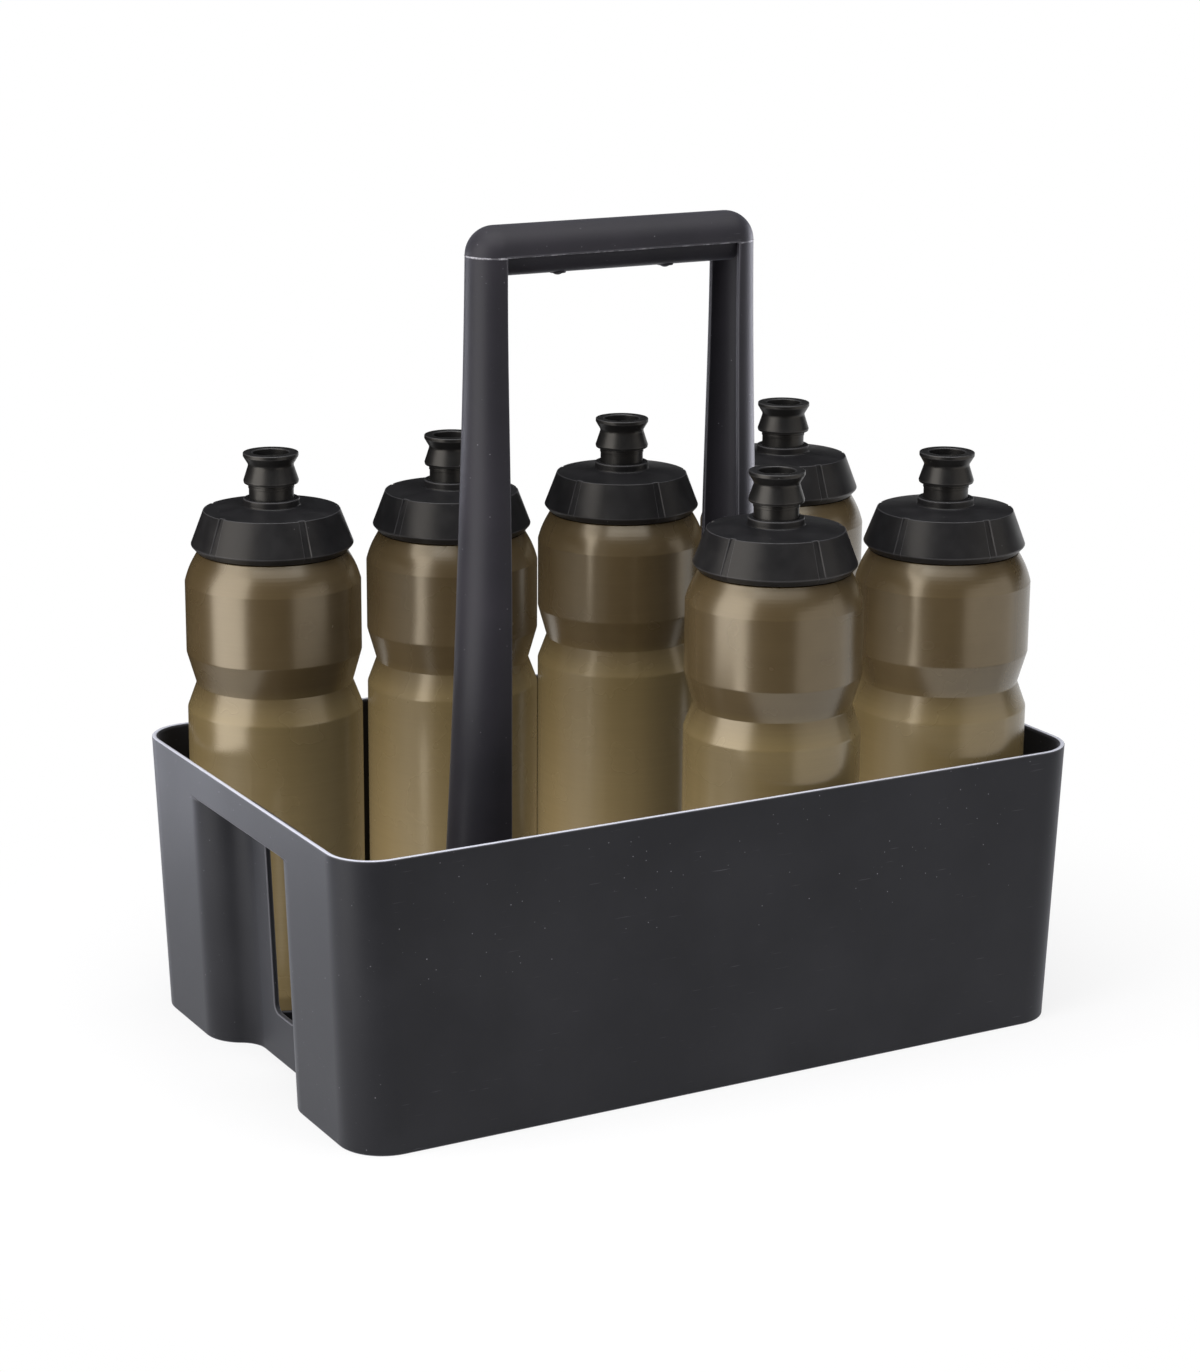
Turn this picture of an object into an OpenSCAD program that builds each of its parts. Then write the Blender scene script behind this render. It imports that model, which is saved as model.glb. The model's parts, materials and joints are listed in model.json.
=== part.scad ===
// Carrier for sports bottles: an open moulded tray with two rows of pockets, a bow handle
// that stands in the aisle between the rows, and the bottles, each with a screw cap, a seal
// and a pull-up spout. X runs along the tray, Z is up, and the origin is the middle of the
// tray's underside. Lengths are in millimetres and angles in degrees.

/* [Bottle] */
// Largest diameter of a bottle
bottle_d = 73; // [60:0.5:85]
// Diameter at the finger waist
waist_d = 65.2; // [52:0.2:70]
// Diameter of the shoulder's flat top
shoulder_d = 62; // [56:0.5:64]
// Outer diameter of the neck
neck_d = 51.2; // [46:0.2:54]
// Diameter of the ring that a bottle stands on
heel_d = 62; // [50:1:66]
// Wall of the blown bottle
bottle_wall = 1.3; // [0.8:0.1:2]
// Wall of the neck
neck_wall = 1.7; // [1.2:0.1:2.4]
// Height of the bevel round the bottom
heel_h = 10; // [4:0.5:16]
// Depth of the hollow under the bottom
push_up_h = 3; // [1:0.5:6]
// Height of the straight lower body
lower_h = 118; // [60:1:150]
// Height from the lower body to the waist
waist_out_h = 10.5; // [6:0.5:16]
// Height from the waist to the upper body
waist_in_h = 13.6; // [6:0.2:20]
// Height of the straight upper body
upper_h = 29.7; // [15:0.1:60]
// Height of the shoulder
shoulder_h = 12.4; // [8:0.2:20]

/* [Cap] */
// Largest diameter of the cap's skirt
skirt_d = 67.4; // [66:0.2:72]
// Diameter of the skirt's top edge
crown_d = 56.5; // [54:0.5:60]
// Diameter of the cap's bottom edge
cap_foot_d = 62.7; // [60:0.1:66]
// Height of the conical skirt
skirt_h = 14.3; // [12:0.1:20]
// Height of the bevel under the skirt
skirt_bevel_h = 2.6; // [1:0.1:4]
// Rise of the roof from its edge to the collar
roof_rise = 1.6; // [0.8:0.1:3]
// Thickness of the roof at its edge
roof_t = 2; // [1.4:0.1:2.6]
// Air gap between the cap and the bottle's shoulder
cap_gap = 0.5; // [0.4:0.1:1]
// Radial room between the neck and the cap's bore for the screw thread
thread_room = 1; // [0.6:0.1:1.2]
// Thickness of the seal ring
seal_t = 1.5; // [1:0.1:2]
// Radial width of the seal ring
seal_w = 3.2; // [2.4:0.1:4]
// Grip notches round the skirt
notch_count = 5; // [3:1:8]
// Width of a grip notch
notch_w = 1.4; // [1:0.1:4]
// Depth of a grip notch at the crown
notch_depth = 0.6; // [0.4:0.1:1.2]

/* [Spout] */
// Diameter of the spout's lip and of its flare
lip_d = 22.9; // [21:0.1:26]
// Smallest diameter of the spout, where the teeth hold it
bite_d = 18.6; // [18:0.1:20]
// Diameter of the spout's stem
stem_d = 18.5; // [18:0.1:18.8]
// Height by which two sliding lands stand out of the stem
land_h = 0.25; // [0.1:0.05:0.3]
// Height of one sliding land
land_w = 1; // [0.6:0.1:1.5]
// Outer diameter of the collar that guides the stem
collar_d = 23.2; // [22.8:0.1:26]
// Height of the collar above the roof
collar_h = 3.2; // [2:0.1:5]
// Length of stem that shows when the spout is pulled open
stem_show_h = 6.3; // [5:0.1:8]
// Length of stem left in the collar when the spout is pulled open
stem_hold_h = 1.2; // [1.1:0.1:3]
// Height of the flare's lower edge
flare_edge_h = 1.1; // [0.5:0.1:2]
// Height from the flare's widest ring to the bite ring
flare_h = 6.6; // [4:0.1:8]
// Height from the bite ring to the lip
mouth_h = 3.6; // [3:0.1:6]
// Height of the lip
lip_h = 1.5; // [1:0.1:3]
// Diameter of the hollow in the lip
mouth_d = 15; // [12:0.5:16]
// Diameter of the drinking hole
hole_d = 5; // [4.6:0.1:6]
// Depth of the hollow in the lip
mouth_depth = 3.5; // [2:0.1:5]
// Thickness of the web round the drinking hole
web_t = 2; // [1.2:0.1:3]
// Outer diameter of the fixed nozzle that the spout slides on
nozzle_d = 12.8; // [12:0.1:13]
// Wall of the nozzle
nozzle_wall = 1.4; // [1:0.1:1.8]

/* [Tray] */
// Height of the tray
tray_h = 120.5; // [100:0.5:140]
// Wall of the tray
wall = 2.5; // [2:0.1:3.5]
// Thickness of the floor
floor_t = 2.5; // [2:0.1:4]
// Height of the skirt under the floor
skirt_z = 5.5; // [5:0.1:10]
// Plan radius of the tray's corners
corner_r = 19; // [10:0.5:24]
// Amount by which each end leans outwards up to the rim
end_draft = 4.7; // [1:0.1:8]
// Amount by which each long side leans outwards up to the rim
side_draft = 1.5; // [0.5:0.1:5]
// Clear width between neighbouring bottles in a row
column_gap = 10; // [6:0.5:16]
// Clear width of the aisle between the two rows
aisle_w = 54; // [46:1:80]
// Gap between an end bottle and the end wall, at the floor
end_gap = 1.8; // [1:0.1:6]
// Gap between a bottle and the long wall, at the floor
side_gap = 1; // [0.6:0.1:3]
// Radial play of a bottle in its locating ring
ring_play = 0.8; // [0.5:0.1:1.5]
// Thickness of a locating ring
ring_t = 1.8; // [1.2:0.1:2.4]
// Height of a locating ring above the floor
ring_h = 5; // [3:0.5:8]
// Thickness of the ribs under the floor
rib_t = 2; // [1.5:0.1:3]
// Gap between the ribs and the ground
rib_lift = 0.5; // [0.2:0.1:1]

/* [Hand recess] */
// Depth of the recess in each end wall
recess_depth = 15.3; // [8:0.1:18]
// Height of the band left above the recess
band_h = 14.7; // [8:0.1:30]
// Width of the recess's flat back
recess_flat_w = 45.2; // [30:0.2:50]
// Radius of the convex bend at each side of the recess
lobe_r = 17.7; // [12:0.1:20]
// Radius of the concave bend at each side of the recess
bend_r = 12; // [8:0.5:14]
// Width of the window in the recess
window_w = 20; // [8:1:28]
// Height of the window's lower edge above the ground
window_z = 21; // [15:0.5:40]
// Height of wall left between the window and the recess's ceiling
lintel_h = 8; // [4:0.5:20]
// Corner radius of the window
window_r = 3.5; // [1:0.5:4]

/* [Handle] */
// Height of the handle's top above the ground
handle_z = 340; // [300:1:400]
// Clear width between the legs
grip_w = 107; // [95:1:130]
// Radius of the half-round grip
grip_r = 12; // [10:0.5:15]
// Wall of the handle
handle_wall = 2.2; // [1.6:0.1:3]
// Width of a leg's foot
foot_w = 30.8; // [26:0.2:36]
// Depth of a leg's foot
foot_d = 26; // [20:0.5:32]
// Thickness of the plate that closes a foot
foot_plate_t = 4; // [3:0.5:6]
// Play between a foot and its socket
socket_play = 0.3; // [0.2:0.1:0.6]
// Wall of the socket
socket_t = 2.2; // [1.5:0.1:3]
// Height of the socket above the floor
socket_h = 14; // [8:1:20]
// Distance of the foot screws from the leg's inner face
screw_in = 10.5; // [8:0.5:14]
// Distance between the two screws of a foot
screw_pitch = 14; // [12:0.5:16]
// Diameter of a foot screw
screw_d = 3.9; // [3:0.1:5]
// Diameter of a foot screw's head
head_d = 8; // [6:0.5:9]
// Height of a foot screw's head
head_h = 2.4; // [1.5:0.1:3]
// Length of a foot screw under its head
screw_l = 14; // [10:0.5:18]
// Diameter of the bosses that the foot screws bite
boss_d = 9; // [7:0.5:10]
// Height of the bosses above the floor
boss_h = 16; // [14:0.5:20]

/* [Grip insert] */
// Radial gap between the insert and the grip shell
insert_play = 0.2; // [0.1:0.1:0.4]
// Height of the insert's edge inside the grip shell
insert_lap = 1; // [0.5:0.1:2]
// Wall of the insert
insert_wall = 2; // [1.5:0.1:3]
// Length of the insert that reaches into each leg
insert_tail = 3; // [1:0.5:6]
// Distance between the two rivets
rivet_pitch = 50; // [30:1:70]
// Diameter of a rivet's shank
rivet_d = 3; // [2.4:0.1:4]
// Diameter of a rivet's head
rivet_head_d = 4.4; // [4:0.1:7]
// Height of a rivet's domed head
rivet_head_h = 0.9; // [0.8:0.1:2]
// Length of a rivet's shank
rivet_l = 13; // [9:0.5:14]
// Diameter of the pads and posts that the rivets join
post_d = 7; // [6:0.5:9]

/* [Hidden] */
$fn = 96;
// Overrun of every cut
cut = 1.5;
// Radial clearance of a fastener in its hole
fastener_play = 0.05;
// Room past the tip of a fastener in its blind hole
tip_room = 1;
// Radial clearance of the spout on its guides
slide_play = 0.1;
// Steps in a quarter turn of a faceted bend
bend_steps = 10;
// Angle at which the recess's bend leaves the end wall, so that the edge is a real one
lobe_edge = 4;

bottle_r = bottle_d / 2;
pitch = bottle_d + column_gap;
row_y = (aisle_w + bottle_d) / 2;
floor_z = skirt_z + floor_t;
columns = 4;
// Columns of pockets, in pitches from the middle
column_shares = [for (i = [0:columns - 1]) i - (columns - 1) / 2];
// Places of the bottles: column in pitches, and row, 1 at the back and -1 in front
place_shares = concat([for (c = column_shares) [c, 1]],
                      [for (i = [columns / 2:columns - 1]) [column_shares[i], -1]]);
bottle_count = len(place_shares);

base_l = 2 * (max(column_shares) * pitch + bottle_r + end_gap + wall);
base_w = 2 * (row_y + bottle_r + side_gap + wall);
recess_top = tray_h - band_h;

// Heights on the bottle, from its own base
lower_top = heel_h + lower_h;
waist_z = lower_top + waist_out_h;
upper_bottom = waist_z + waist_in_h;
upper_top = upper_bottom + upper_h;
shoulder_z = upper_top + shoulder_h;
cap_z = shoulder_z + cap_gap;
skirt_low_z = cap_z + skirt_bevel_h;
crown_z = skirt_low_z + skirt_h;
roof_z = crown_z - roof_t;
neck_top = roof_z - seal_t;
collar_z = crown_z + roof_rise;
collar_top = collar_z + collar_h;
cap_bore_r = neck_d / 2 + thread_room;
seal_r = neck_d / 2 + thread_room / 2;

// Heights on the spout, from the bottle's base, with the spout pulled open
stem_bottom = collar_top - stem_hold_h;
flare_bottom = collar_top + stem_show_h;
flare_z = flare_bottom + flare_edge_h;
bite_z = flare_z + flare_h;
lip_z = bite_z + mouth_h;
spout_top = lip_z + lip_h;
web_top = spout_top - mouth_depth;
web_bottom = web_top - web_t;
// The spout stops this far above the collar when it is pushed shut
shut_gap = 0.3;
spout_travel = stem_show_h - shut_gap;
stem_r = stem_d / 2 + land_h;
well_r = stem_r + slide_play;
// Room under the stem when the spout is shut
well_room = 0.6;
well_floor = stem_bottom - spout_travel - well_room;
nozzle_r = nozzle_d / 2;
nozzle_bore_r = nozzle_r - nozzle_wall;
// The web stops this far above the nozzle when the spout is shut
web_gap = 1.2;
nozzle_top = web_bottom - spout_travel - web_gap;
pin_r = hole_d / 2 - slide_play;
// The plug pin stands this far out of the shut web
pin_proud = 0.5;
pin_top = web_top - spout_travel + pin_proud;
// Spokes that carry the plug pin inside the nozzle
spoke_t = 1.6;
spoke_h = 3.5;
spoke_count = 3;
// Steps by which the first notch stands clockwise of the front
notch_turn_share = 0.97;
// Bulge of the shoulder's curve as a share of its width and of its height
bulge_share = 0.07;

// Handle
bow_z = handle_z - grip_r;
leg_x = grip_w / 2;
leg_h = bow_z - floor_z;
leg_steps = 12;
// Share of the leg's length, from the top, at which its widening starts and ends
widen_shares = [0.025, 0.4625];
// Share of the leg's growth in depth that is steady; the rest grows with the square
flare_share = 0.37;
grip_bore_r = grip_r - handle_wall;
insert_r = grip_bore_r - insert_play;
// The insert's arc is centred a little above the parting line
insert_rise = insert_lap + insert_play;
insert_z = bow_z + insert_rise;
insert_low = insert_z - insert_r;
insert_edge_z = bow_z + insert_lap;
// The pads stand this far out of the insert's underside, and this far into its hollow
pad_proud = 0.3;
pad_inner_h = 1.2;
pad_bottom = insert_low - pad_proud;
post_bottom = insert_low + insert_wall + pad_inner_h;

// A foot screw's head: width of its lower face, and length and width of its cross recess,
// as shares of the head's diameter
head_face_share = 0.8;
recess_l_share = 0.6;
recess_w_share = 0.1;

tray_colour = "#303033";
handle_colour = "#38373b";
bottle_colour = "#85765a";
cap_colour = "#262627";
spout_colour = "#1e1e1f";
seal_colour = "#8c8c88";
steel_colour = "#a9abae";

// Points of an arc about [cx, cy]
function arc(cx, cy, r, a0, a1, n = bend_steps) =
    [for (i = [0:n]) let (a = a0 + (a1 - a0) * i / n) [cx + r * cos(a), cy + r * sin(a)]];

// Outline points lifted to a height
function lift(points, z) = [for (p = points) [p[0], p[1], z]];

function reversed(list) = [for (i = [len(list) - 1:-1:0]) list[i]];

// A value from 0 to 1 that starts and ends gently
function ease(t) = let (u = max(0, min(1, t))) u * u * (3 - 2 * u);

// Half length and half width of the tray's outside at a height
function half_l(z) = base_l / 2 + end_draft * z / tray_h;
function half_w(z) = base_w / 2 + side_draft * z / tray_h;

// The tray's plan at a height, drawn in by an inset
function plan_ring(z, inset) =
    let (x = half_l(z) - corner_r, y = half_w(z) - corner_r, r = corner_r - inset)
    lift(concat(arc(x, y, r, 0, 90), arc(-x, y, r, 90, 180),
                arc(-x, -y, r, 180, 270), arc(x, -y, r, 270, 360)), z);

// Angle at which the recess's convex bend hands over to the concave one
bend_angle = acos(1 - recess_depth / (lobe_r + bend_r));
bend_y = recess_flat_w / 2;
lobe_y = bend_y + (lobe_r + bend_r) * sin(bend_angle);

// One half of the recess's plan at a height, from its open side to its flat back, for the
// end at -X; grow moves it into the tray by a wall
function recess_half(z, grow) =
    let (face = -half_l(z), r = lobe_r - grow,
         bends = concat(
             arc(face + lobe_r, lobe_y, r, 180 + lobe_edge, 180 + bend_angle),
             arc(face + recess_depth - bend_r, bend_y, bend_r + grow, bend_angle, 0)))
    concat([[face - cut, bends[0][1]]], bends);

function recess_ring(z, grow) =
    let (half = recess_half(z, grow))
    lift(concat([for (p = half) [p[0], -p[1]]], reversed(half)), z);

// Triangles that fill a ring of n points, as strips from point i to the point that faces it
function cap_faces(n) =
    [for (i = [0:ceil(n / 2) - 2])
        each concat([[i, i + 1, n - 1 - i]],
                    i + 1 < n - 2 - i ? [[i + 1, n - 2 - i, n - 1 - i]] : [])];

// A closed solid through rings of points, from the lowest ring to the highest; each ring
// runs anticlockwise as seen from above, and its two halves mirror each other about y = 0
module loft(rings) {
    n = len(rings[0]);
    m = len(rings);
    polyhedron(
        points = [for (ring = rings) each ring],
        faces = concat(
            cap_faces(n),
            [for (j = [0:m - 2], i = [0:n - 1]) let (k = (i + 1) % n)
                each [[j * n + i, (j + 1) * n + i, (j + 1) * n + k],
                      [j * n + i, (j + 1) * n + k, j * n + k]]],
            [for (f = cap_faces(n)) [for (k = reversed(f)) (m - 1) * n + k]]));
}

// The recess of both ends between two heights
module recesses(z0, z1, grow) {
    for (end = [0, 1])
        mirror([end, 0, 0])
            loft([recess_ring(z0, grow), recess_ring(z1, grow)]);
}

// The room inside the tray's walls between two heights
module room(z0, z1) {
    difference() {
        loft([plan_ring(z0, wall), plan_ring(z1, wall)]);
        recesses(-2 * cut, recess_top + wall, wall);
    }
}

// A slot with round corners through both end walls
module windows() {
    h = recess_top - lintel_h - window_z;
    back = base_l / 2 - recess_depth;
    for (end = [0, 1])
        mirror([end, 0, 0])
            translate([-back - end_draft - cut, 0, window_z])
                rotate([90, 0, 90])
                    linear_extrude(end_draft + wall + 2 * cut)
                        union() {
                            translate([-window_w / 2, window_r])
                                square([window_w, h - 2 * window_r]);
                            translate([window_r - window_w / 2, 0])
                                square([window_w - 2 * window_r, h]);
                            for (sx = [-1, 1], top = [0, 1])
                                translate([sx * (window_w / 2 - window_r),
                                           window_r + top * (h - 2 * window_r)])
                                    circle(window_r);
                        }
}

// Outline of a leg: flat inner face on x = 0, round nose outwards, grown by a margin
module leg_outline(half_w, depth, grow) {
    intersection() {
        union() {
            square([2 * (depth - half_w), 2 * (half_w + grow)], center = true);
            translate([depth - half_w, 0])
                circle(half_w + grow);
        }
        translate([-grow, -half_w - grow])
            square([depth + 2 * grow, 2 * (half_w + grow)]);
    }
}

module sockets() {
    for (side = [0, 1])
        mirror([side, 0, 0])
            translate([leg_x, 0, skirt_z + floor_t / 2])
                linear_extrude(socket_h + floor_t / 2)
                    difference() {
                        leg_outline(foot_w / 2, foot_d, socket_play + socket_t);
                        leg_outline(foot_w / 2, foot_d, socket_play);
                    }
}

module locating_rings() {
    for (c = column_shares, row = [-1, 1])
        translate([c * pitch, row * row_y, skirt_z + floor_t / 2])
            difference() {
                cylinder(r = bottle_r + ring_play + ring_t, h = ring_h + floor_t / 2);
                cylinder(r = bottle_r + ring_play, h = ring_h + floor_t);
            }
}

module ribs() {
    h = skirt_z - rib_lift + floor_t / 2;
    for (x = [-pitch, 0, pitch])
        translate([x - rib_t / 2, -base_w / 2, rib_lift])
            cube([rib_t, base_w, h]);
    for (side = [-1, 1])
        translate([-base_l / 2, side * row_y / 2 - rib_t / 2, rib_lift])
            cube([base_l, rib_t, h]);
}

// Places of the four foot screws
module at_foot_screw(side, row) {
    translate([side * (leg_x + screw_in), row * screw_pitch / 2, 0])
        children();
}

module tray() {
    color(tray_colour)
        difference() {
            loft([plan_ring(0, 0), plan_ring(tray_h, 0)]);
            recesses(-cut, recess_top, 0);
            difference() {
                room(floor_z, tray_h + cut);
                sockets();
                locating_rings();
            }
            difference() {
                room(-cut, skirt_z);
                ribs();
            }
            windows();
            for (side = [-1, 1], row = [-1, 1])
                at_foot_screw(side, row)
                    translate([0, 0, skirt_z - cut])
                        cylinder(d = screw_d + 2 * fastener_play, h = floor_t + 2 * cut);
        }
}

// Half width and depth of a leg at a share of its length, from the top
function leg_half_w(t) =
    let (s = ease((t - widen_shares[0]) / (widen_shares[1] - widen_shares[0])))
    grip_r + (foot_w / 2 - grip_r) * s;
function leg_depth(t) =
    grip_r + (foot_d - grip_r) * (flare_share * t + (1 - flare_share) * t * t);

// Plan of a leg at a share of its length: inset draws it in by a wall, and reach moves its
// inner face outwards past the leg's own
function leg_ring(t, inset, reach) =
    let (w = leg_half_w(t), d = leg_depth(t))
    lift(concat([[leg_x - reach, inset - w]],
                arc(leg_x + d - w, 0, w - inset, -90, 90, 2 * bend_steps),
                [[leg_x - reach, w - inset]]), bow_z - t * leg_h);

module legs(inset, reach) {
    for (side = [0, 1])
        mirror([side, 0, 0])
            loft([for (i = [leg_steps:-1:0]) leg_ring(i / leg_steps, inset, reach)]);
}

// The upper half of a round bar with ball ends, above the parting line
module bow(r) {
    intersection() {
        union() {
            translate([-leg_x, 0, bow_z])
                rotate([0, 90, 0])
                    cylinder(r = r, h = grip_w);
            for (side = [-1, 1])
                translate([side * leg_x, 0, bow_z])
                    sphere(r = r);
        }
        translate([-leg_x - 2 * grip_r, -2 * grip_r, bow_z])
            cube([grip_w + 4 * grip_r, 4 * grip_r, 2 * grip_r]);
    }
}

module at_rivet(side) {
    translate([side * rivet_pitch / 2, 0, 0])
        children();
}

module foot_plates() {
    for (side = [0, 1])
        mirror([side, 0, 0])
            translate([leg_x, 0, floor_z])
                linear_extrude(foot_plate_t)
                    leg_outline(foot_w / 2 - handle_wall / 2, foot_d - handle_wall / 2, 0);
}

module handle_shell() {
    color(handle_colour)
        difference() {
            union() {
                difference() {
                    union() {
                        legs(0, 0);
                        bow(grip_r);
                    }
                    legs(handle_wall, cut);
                    bow(grip_bore_r);
                }
                foot_plates();
                for (side = [-1, 1], row = [-1, 1])
                    at_foot_screw(side, row)
                        translate([0, 0, floor_z])
                            cylinder(d = boss_d, h = boss_h);
                for (side = [-1, 1])
                    at_rivet(side)
                        translate([0, 0, post_bottom])
                            cylinder(d = post_d, h = bow_z + grip_bore_r - post_bottom);
            }
            for (side = [-1, 1], row = [-1, 1])
                at_foot_screw(side, row)
                    translate([0, 0, floor_z - cut])
                        cylinder(d = screw_d + 2 * fastener_play,
                                 h = screw_l - floor_t + tip_room + cut);
            for (side = [-1, 1])
                at_rivet(side)
                    translate([0, 0, post_bottom - cut])
                        cylinder(d = rivet_d + 2 * fastener_play,
                                 h = pad_bottom + rivet_l - post_bottom + tip_room + cut);
        }
}

// A round bar about the axis of the insert's arc
module insert_bar(r, length) {
    translate([-length / 2, 0, insert_z])
        rotate([0, 90, 0])
            cylinder(r = r, h = length);
}

module grip_insert() {
    length = grip_w + 2 * insert_tail;
    color(handle_colour)
        difference() {
            union() {
                difference() {
                    insert_bar(insert_r, length);
                    insert_bar(insert_r - insert_wall, length - 2 * insert_wall);
                    translate([-length / 2 - cut, -grip_r, insert_edge_z])
                        cube([length + 2 * cut, 2 * grip_r, grip_r]);
                }
                for (side = [-1, 1])
                    at_rivet(side)
                        translate([0, 0, pad_bottom])
                            cylinder(d = post_d, h = post_bottom - pad_bottom);
            }
            for (side = [-1, 1])
                at_rivet(side)
                    translate([0, 0, pad_bottom - cut])
                        cylinder(d = rivet_d + 2 * fastener_play,
                                 h = post_bottom - pad_bottom + 2 * cut);
        }
}

module grip_rivet(side) {
    head_r = rivet_head_d / 2;
    dome_r = (head_r * head_r + rivet_head_h * rivet_head_h) / (2 * rivet_head_h);
    color(handle_colour)
        at_rivet(side) {
            translate([0, 0, pad_bottom])
                cylinder(d = rivet_d, h = rivet_l);
            intersection() {
                translate([0, 0, pad_bottom - rivet_head_h + dome_r])
                    sphere(r = dome_r);
                translate([0, 0, pad_bottom - rivet_head_h])
                    cylinder(r = head_r, h = rivet_head_h);
            }
        }
}

module foot_screw(side, row) {
    recess_w = head_d * recess_w_share;
    recess_l = head_d * recess_l_share;
    color(steel_colour)
        at_foot_screw(side, row)
            difference() {
                union() {
                    translate([0, 0, skirt_z])
                        cylinder(d = screw_d, h = screw_l);
                    translate([0, 0, skirt_z - head_h])
                        cylinder(d1 = head_d * head_face_share, d2 = head_d, h = head_h / 2);
                    translate([0, 0, skirt_z - head_h / 2])
                        cylinder(d = head_d, h = head_h / 2);
                }
                for (turn = [0, 90])
                    rotate([0, 0, turn])
                        translate([-recess_l / 2, -recess_w / 2, skirt_z - head_h - cut])
                            cube([recess_l, recess_w, head_h / 2 + cut]);
            }
}

// A bottle's own place on the tray's floor
module at_place(i) {
    translate([place_shares[i][0] * pitch, place_shares[i][1] * row_y, floor_z])
        children();
}

// The shoulder as an arc that leaves the upper body upright and bulges a little
function shoulder_points(inset) =
    let (w = (bottle_d - shoulder_d) / 2, h = shoulder_h, n = bend_steps / 2)
    [for (i = [0:n]) let (t = i / n)
        [bottle_r - inset - w * t + w * bulge_share * sin(180 * t),
         upper_top + h * t + h * bulge_share * sin(180 * t) * (1 - t)]];

module bottle_shell() {
    heel_r = heel_d / 2;
    push_r = heel_r - 2 * push_up_h;
    neck_r = neck_d / 2;
    rotate_extrude()
        polygon(concat(
            [[0, push_up_h], [push_r, push_up_h], [push_r + push_up_h, 0], [heel_r, 0],
             [bottle_r, heel_h], [bottle_r, lower_top], [waist_d / 2, waist_z],
             [bottle_r, upper_bottom]],
            shoulder_points(0),
            [[neck_r, shoulder_z], [neck_r, neck_top],
             [neck_r - neck_wall, neck_top],
             [neck_r - neck_wall, shoulder_z - bottle_wall]],
            reversed([for (p = shoulder_points(bottle_wall)) [p[0], p[1] - bottle_wall / 2]]),
            [[bottle_r - bottle_wall, upper_bottom], [waist_d / 2 - bottle_wall, waist_z],
             [bottle_r - bottle_wall, lower_top], [bottle_r - bottle_wall, heel_h],
             [heel_r - bottle_wall / 2, bottle_wall], [push_r + push_up_h, bottle_wall],
             [push_r, push_up_h + bottle_wall], [0, push_up_h + bottle_wall]]));
}

module bottle(i) {
    color(bottle_colour)
        at_place(i)
            bottle_shell();
}

module seal(i) {
    color(seal_colour)
        at_place(i)
            translate([0, 0, neck_top])
                difference() {
                    cylinder(r = seal_r, h = seal_t);
                    translate([0, 0, -cut])
                        cylinder(r = seal_r - seal_w, h = seal_t + 2 * cut);
                }
}

// A groove down the skirt, deepest at the crown, that dies out at the skirt's foot
module notch() {
    floor_r = crown_d / 2 - notch_depth;
    translate([0, notch_w / 2, 0])
        rotate([90, 0, 0])
            linear_extrude(notch_w)
                polygon([[skirt_d / 2 + notch_depth / 5, skirt_low_z], [floor_r, crown_z],
                         [floor_r, crown_z + cut], [skirt_d / 2 + notch_depth / 5, crown_z + cut]]);
}

module cap(i) {
    color(cap_colour)
        at_place(i)
            union() {
                difference() {
                    rotate_extrude()
                        polygon([
                            [nozzle_bore_r, well_floor - roof_t],
                            [collar_d / 2, well_floor - roof_t],
                            [collar_d / 2, roof_z], [cap_bore_r, roof_z],
                            [cap_bore_r, cap_z], [cap_foot_d / 2, cap_z],
                            [skirt_d / 2, skirt_low_z], [crown_d / 2, crown_z],
                            [collar_d / 2, collar_z], [collar_d / 2, collar_top],
                            [well_r, collar_top], [well_r, well_floor],
                            [nozzle_r, well_floor], [nozzle_r, nozzle_top],
                            [nozzle_bore_r, nozzle_top]]);
                    for (k = [0:notch_count - 1])
                        rotate([0, 0, -90 + 360 * (k - notch_turn_share) / notch_count])
                            notch();
                }
                // Plug pin on its spokes
                translate([0, 0, nozzle_top - spoke_h])
                    cylinder(r = pin_r, h = pin_top - nozzle_top + spoke_h);
                for (k = [0:spoke_count - 1])
                    rotate([0, 0, 360 * k / spoke_count])
                        translate([0, -spoke_t / 2, nozzle_top - spoke_h])
                            cube([nozzle_r - nozzle_wall / 2, spoke_t, spoke_h]);
            }
}

module spout(i) {
    slide_r = nozzle_r + slide_play;
    color(spout_colour)
        at_place(i)
            rotate_extrude()
                polygon([
                    [slide_r, stem_bottom], [stem_r, stem_bottom],
                    [stem_r, stem_bottom + land_w], [stem_d / 2, stem_bottom + land_w],
                    [stem_d / 2, flare_bottom - 2 * land_w],
                    [stem_r, flare_bottom - 2 * land_w],
                    [stem_r, flare_bottom - land_w], [stem_d / 2, flare_bottom - land_w],
                    [stem_d / 2, flare_bottom], [lip_d / 2 - land_h, flare_bottom],
                    [lip_d / 2, flare_z], [bite_d / 2, bite_z], [lip_d / 2, lip_z],
                    [lip_d / 2, spout_top], [mouth_d / 2, spout_top], [mouth_d / 2, web_top],
                    [hole_d / 2, web_top], [hole_d / 2, web_bottom],
                    [slide_r, web_bottom]]);
}

tray();
handle_shell();
grip_insert();
grip_rivet(-1);  // grip_rivet_left
grip_rivet(1);  // grip_rivet_right
foot_screw(-1, -1);  // foot_screw_left_front
foot_screw(-1, 1);  // foot_screw_left_back
foot_screw(1, -1);  // foot_screw_right_front
foot_screw(1, 1);  // foot_screw_right_back
for (i = [0:bottle_count - 1])
    bottle(i);
for (i = [0:bottle_count - 1])
    seal(i);
for (i = [0:bottle_count - 1])
    cap(i);
for (i = [0:bottle_count - 1])
    spout(i);
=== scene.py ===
"""Looks of a moulded bottle carrier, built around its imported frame.

Sizes are in millimetres and angles in radians unless a name says otherwise. Every mesh is worked
out with numpy as whole arrays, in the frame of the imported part: +X along the tray to the right,
+Y to the back row, +Z up. It is scaled to metres when it is put into Blender.
"""

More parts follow.
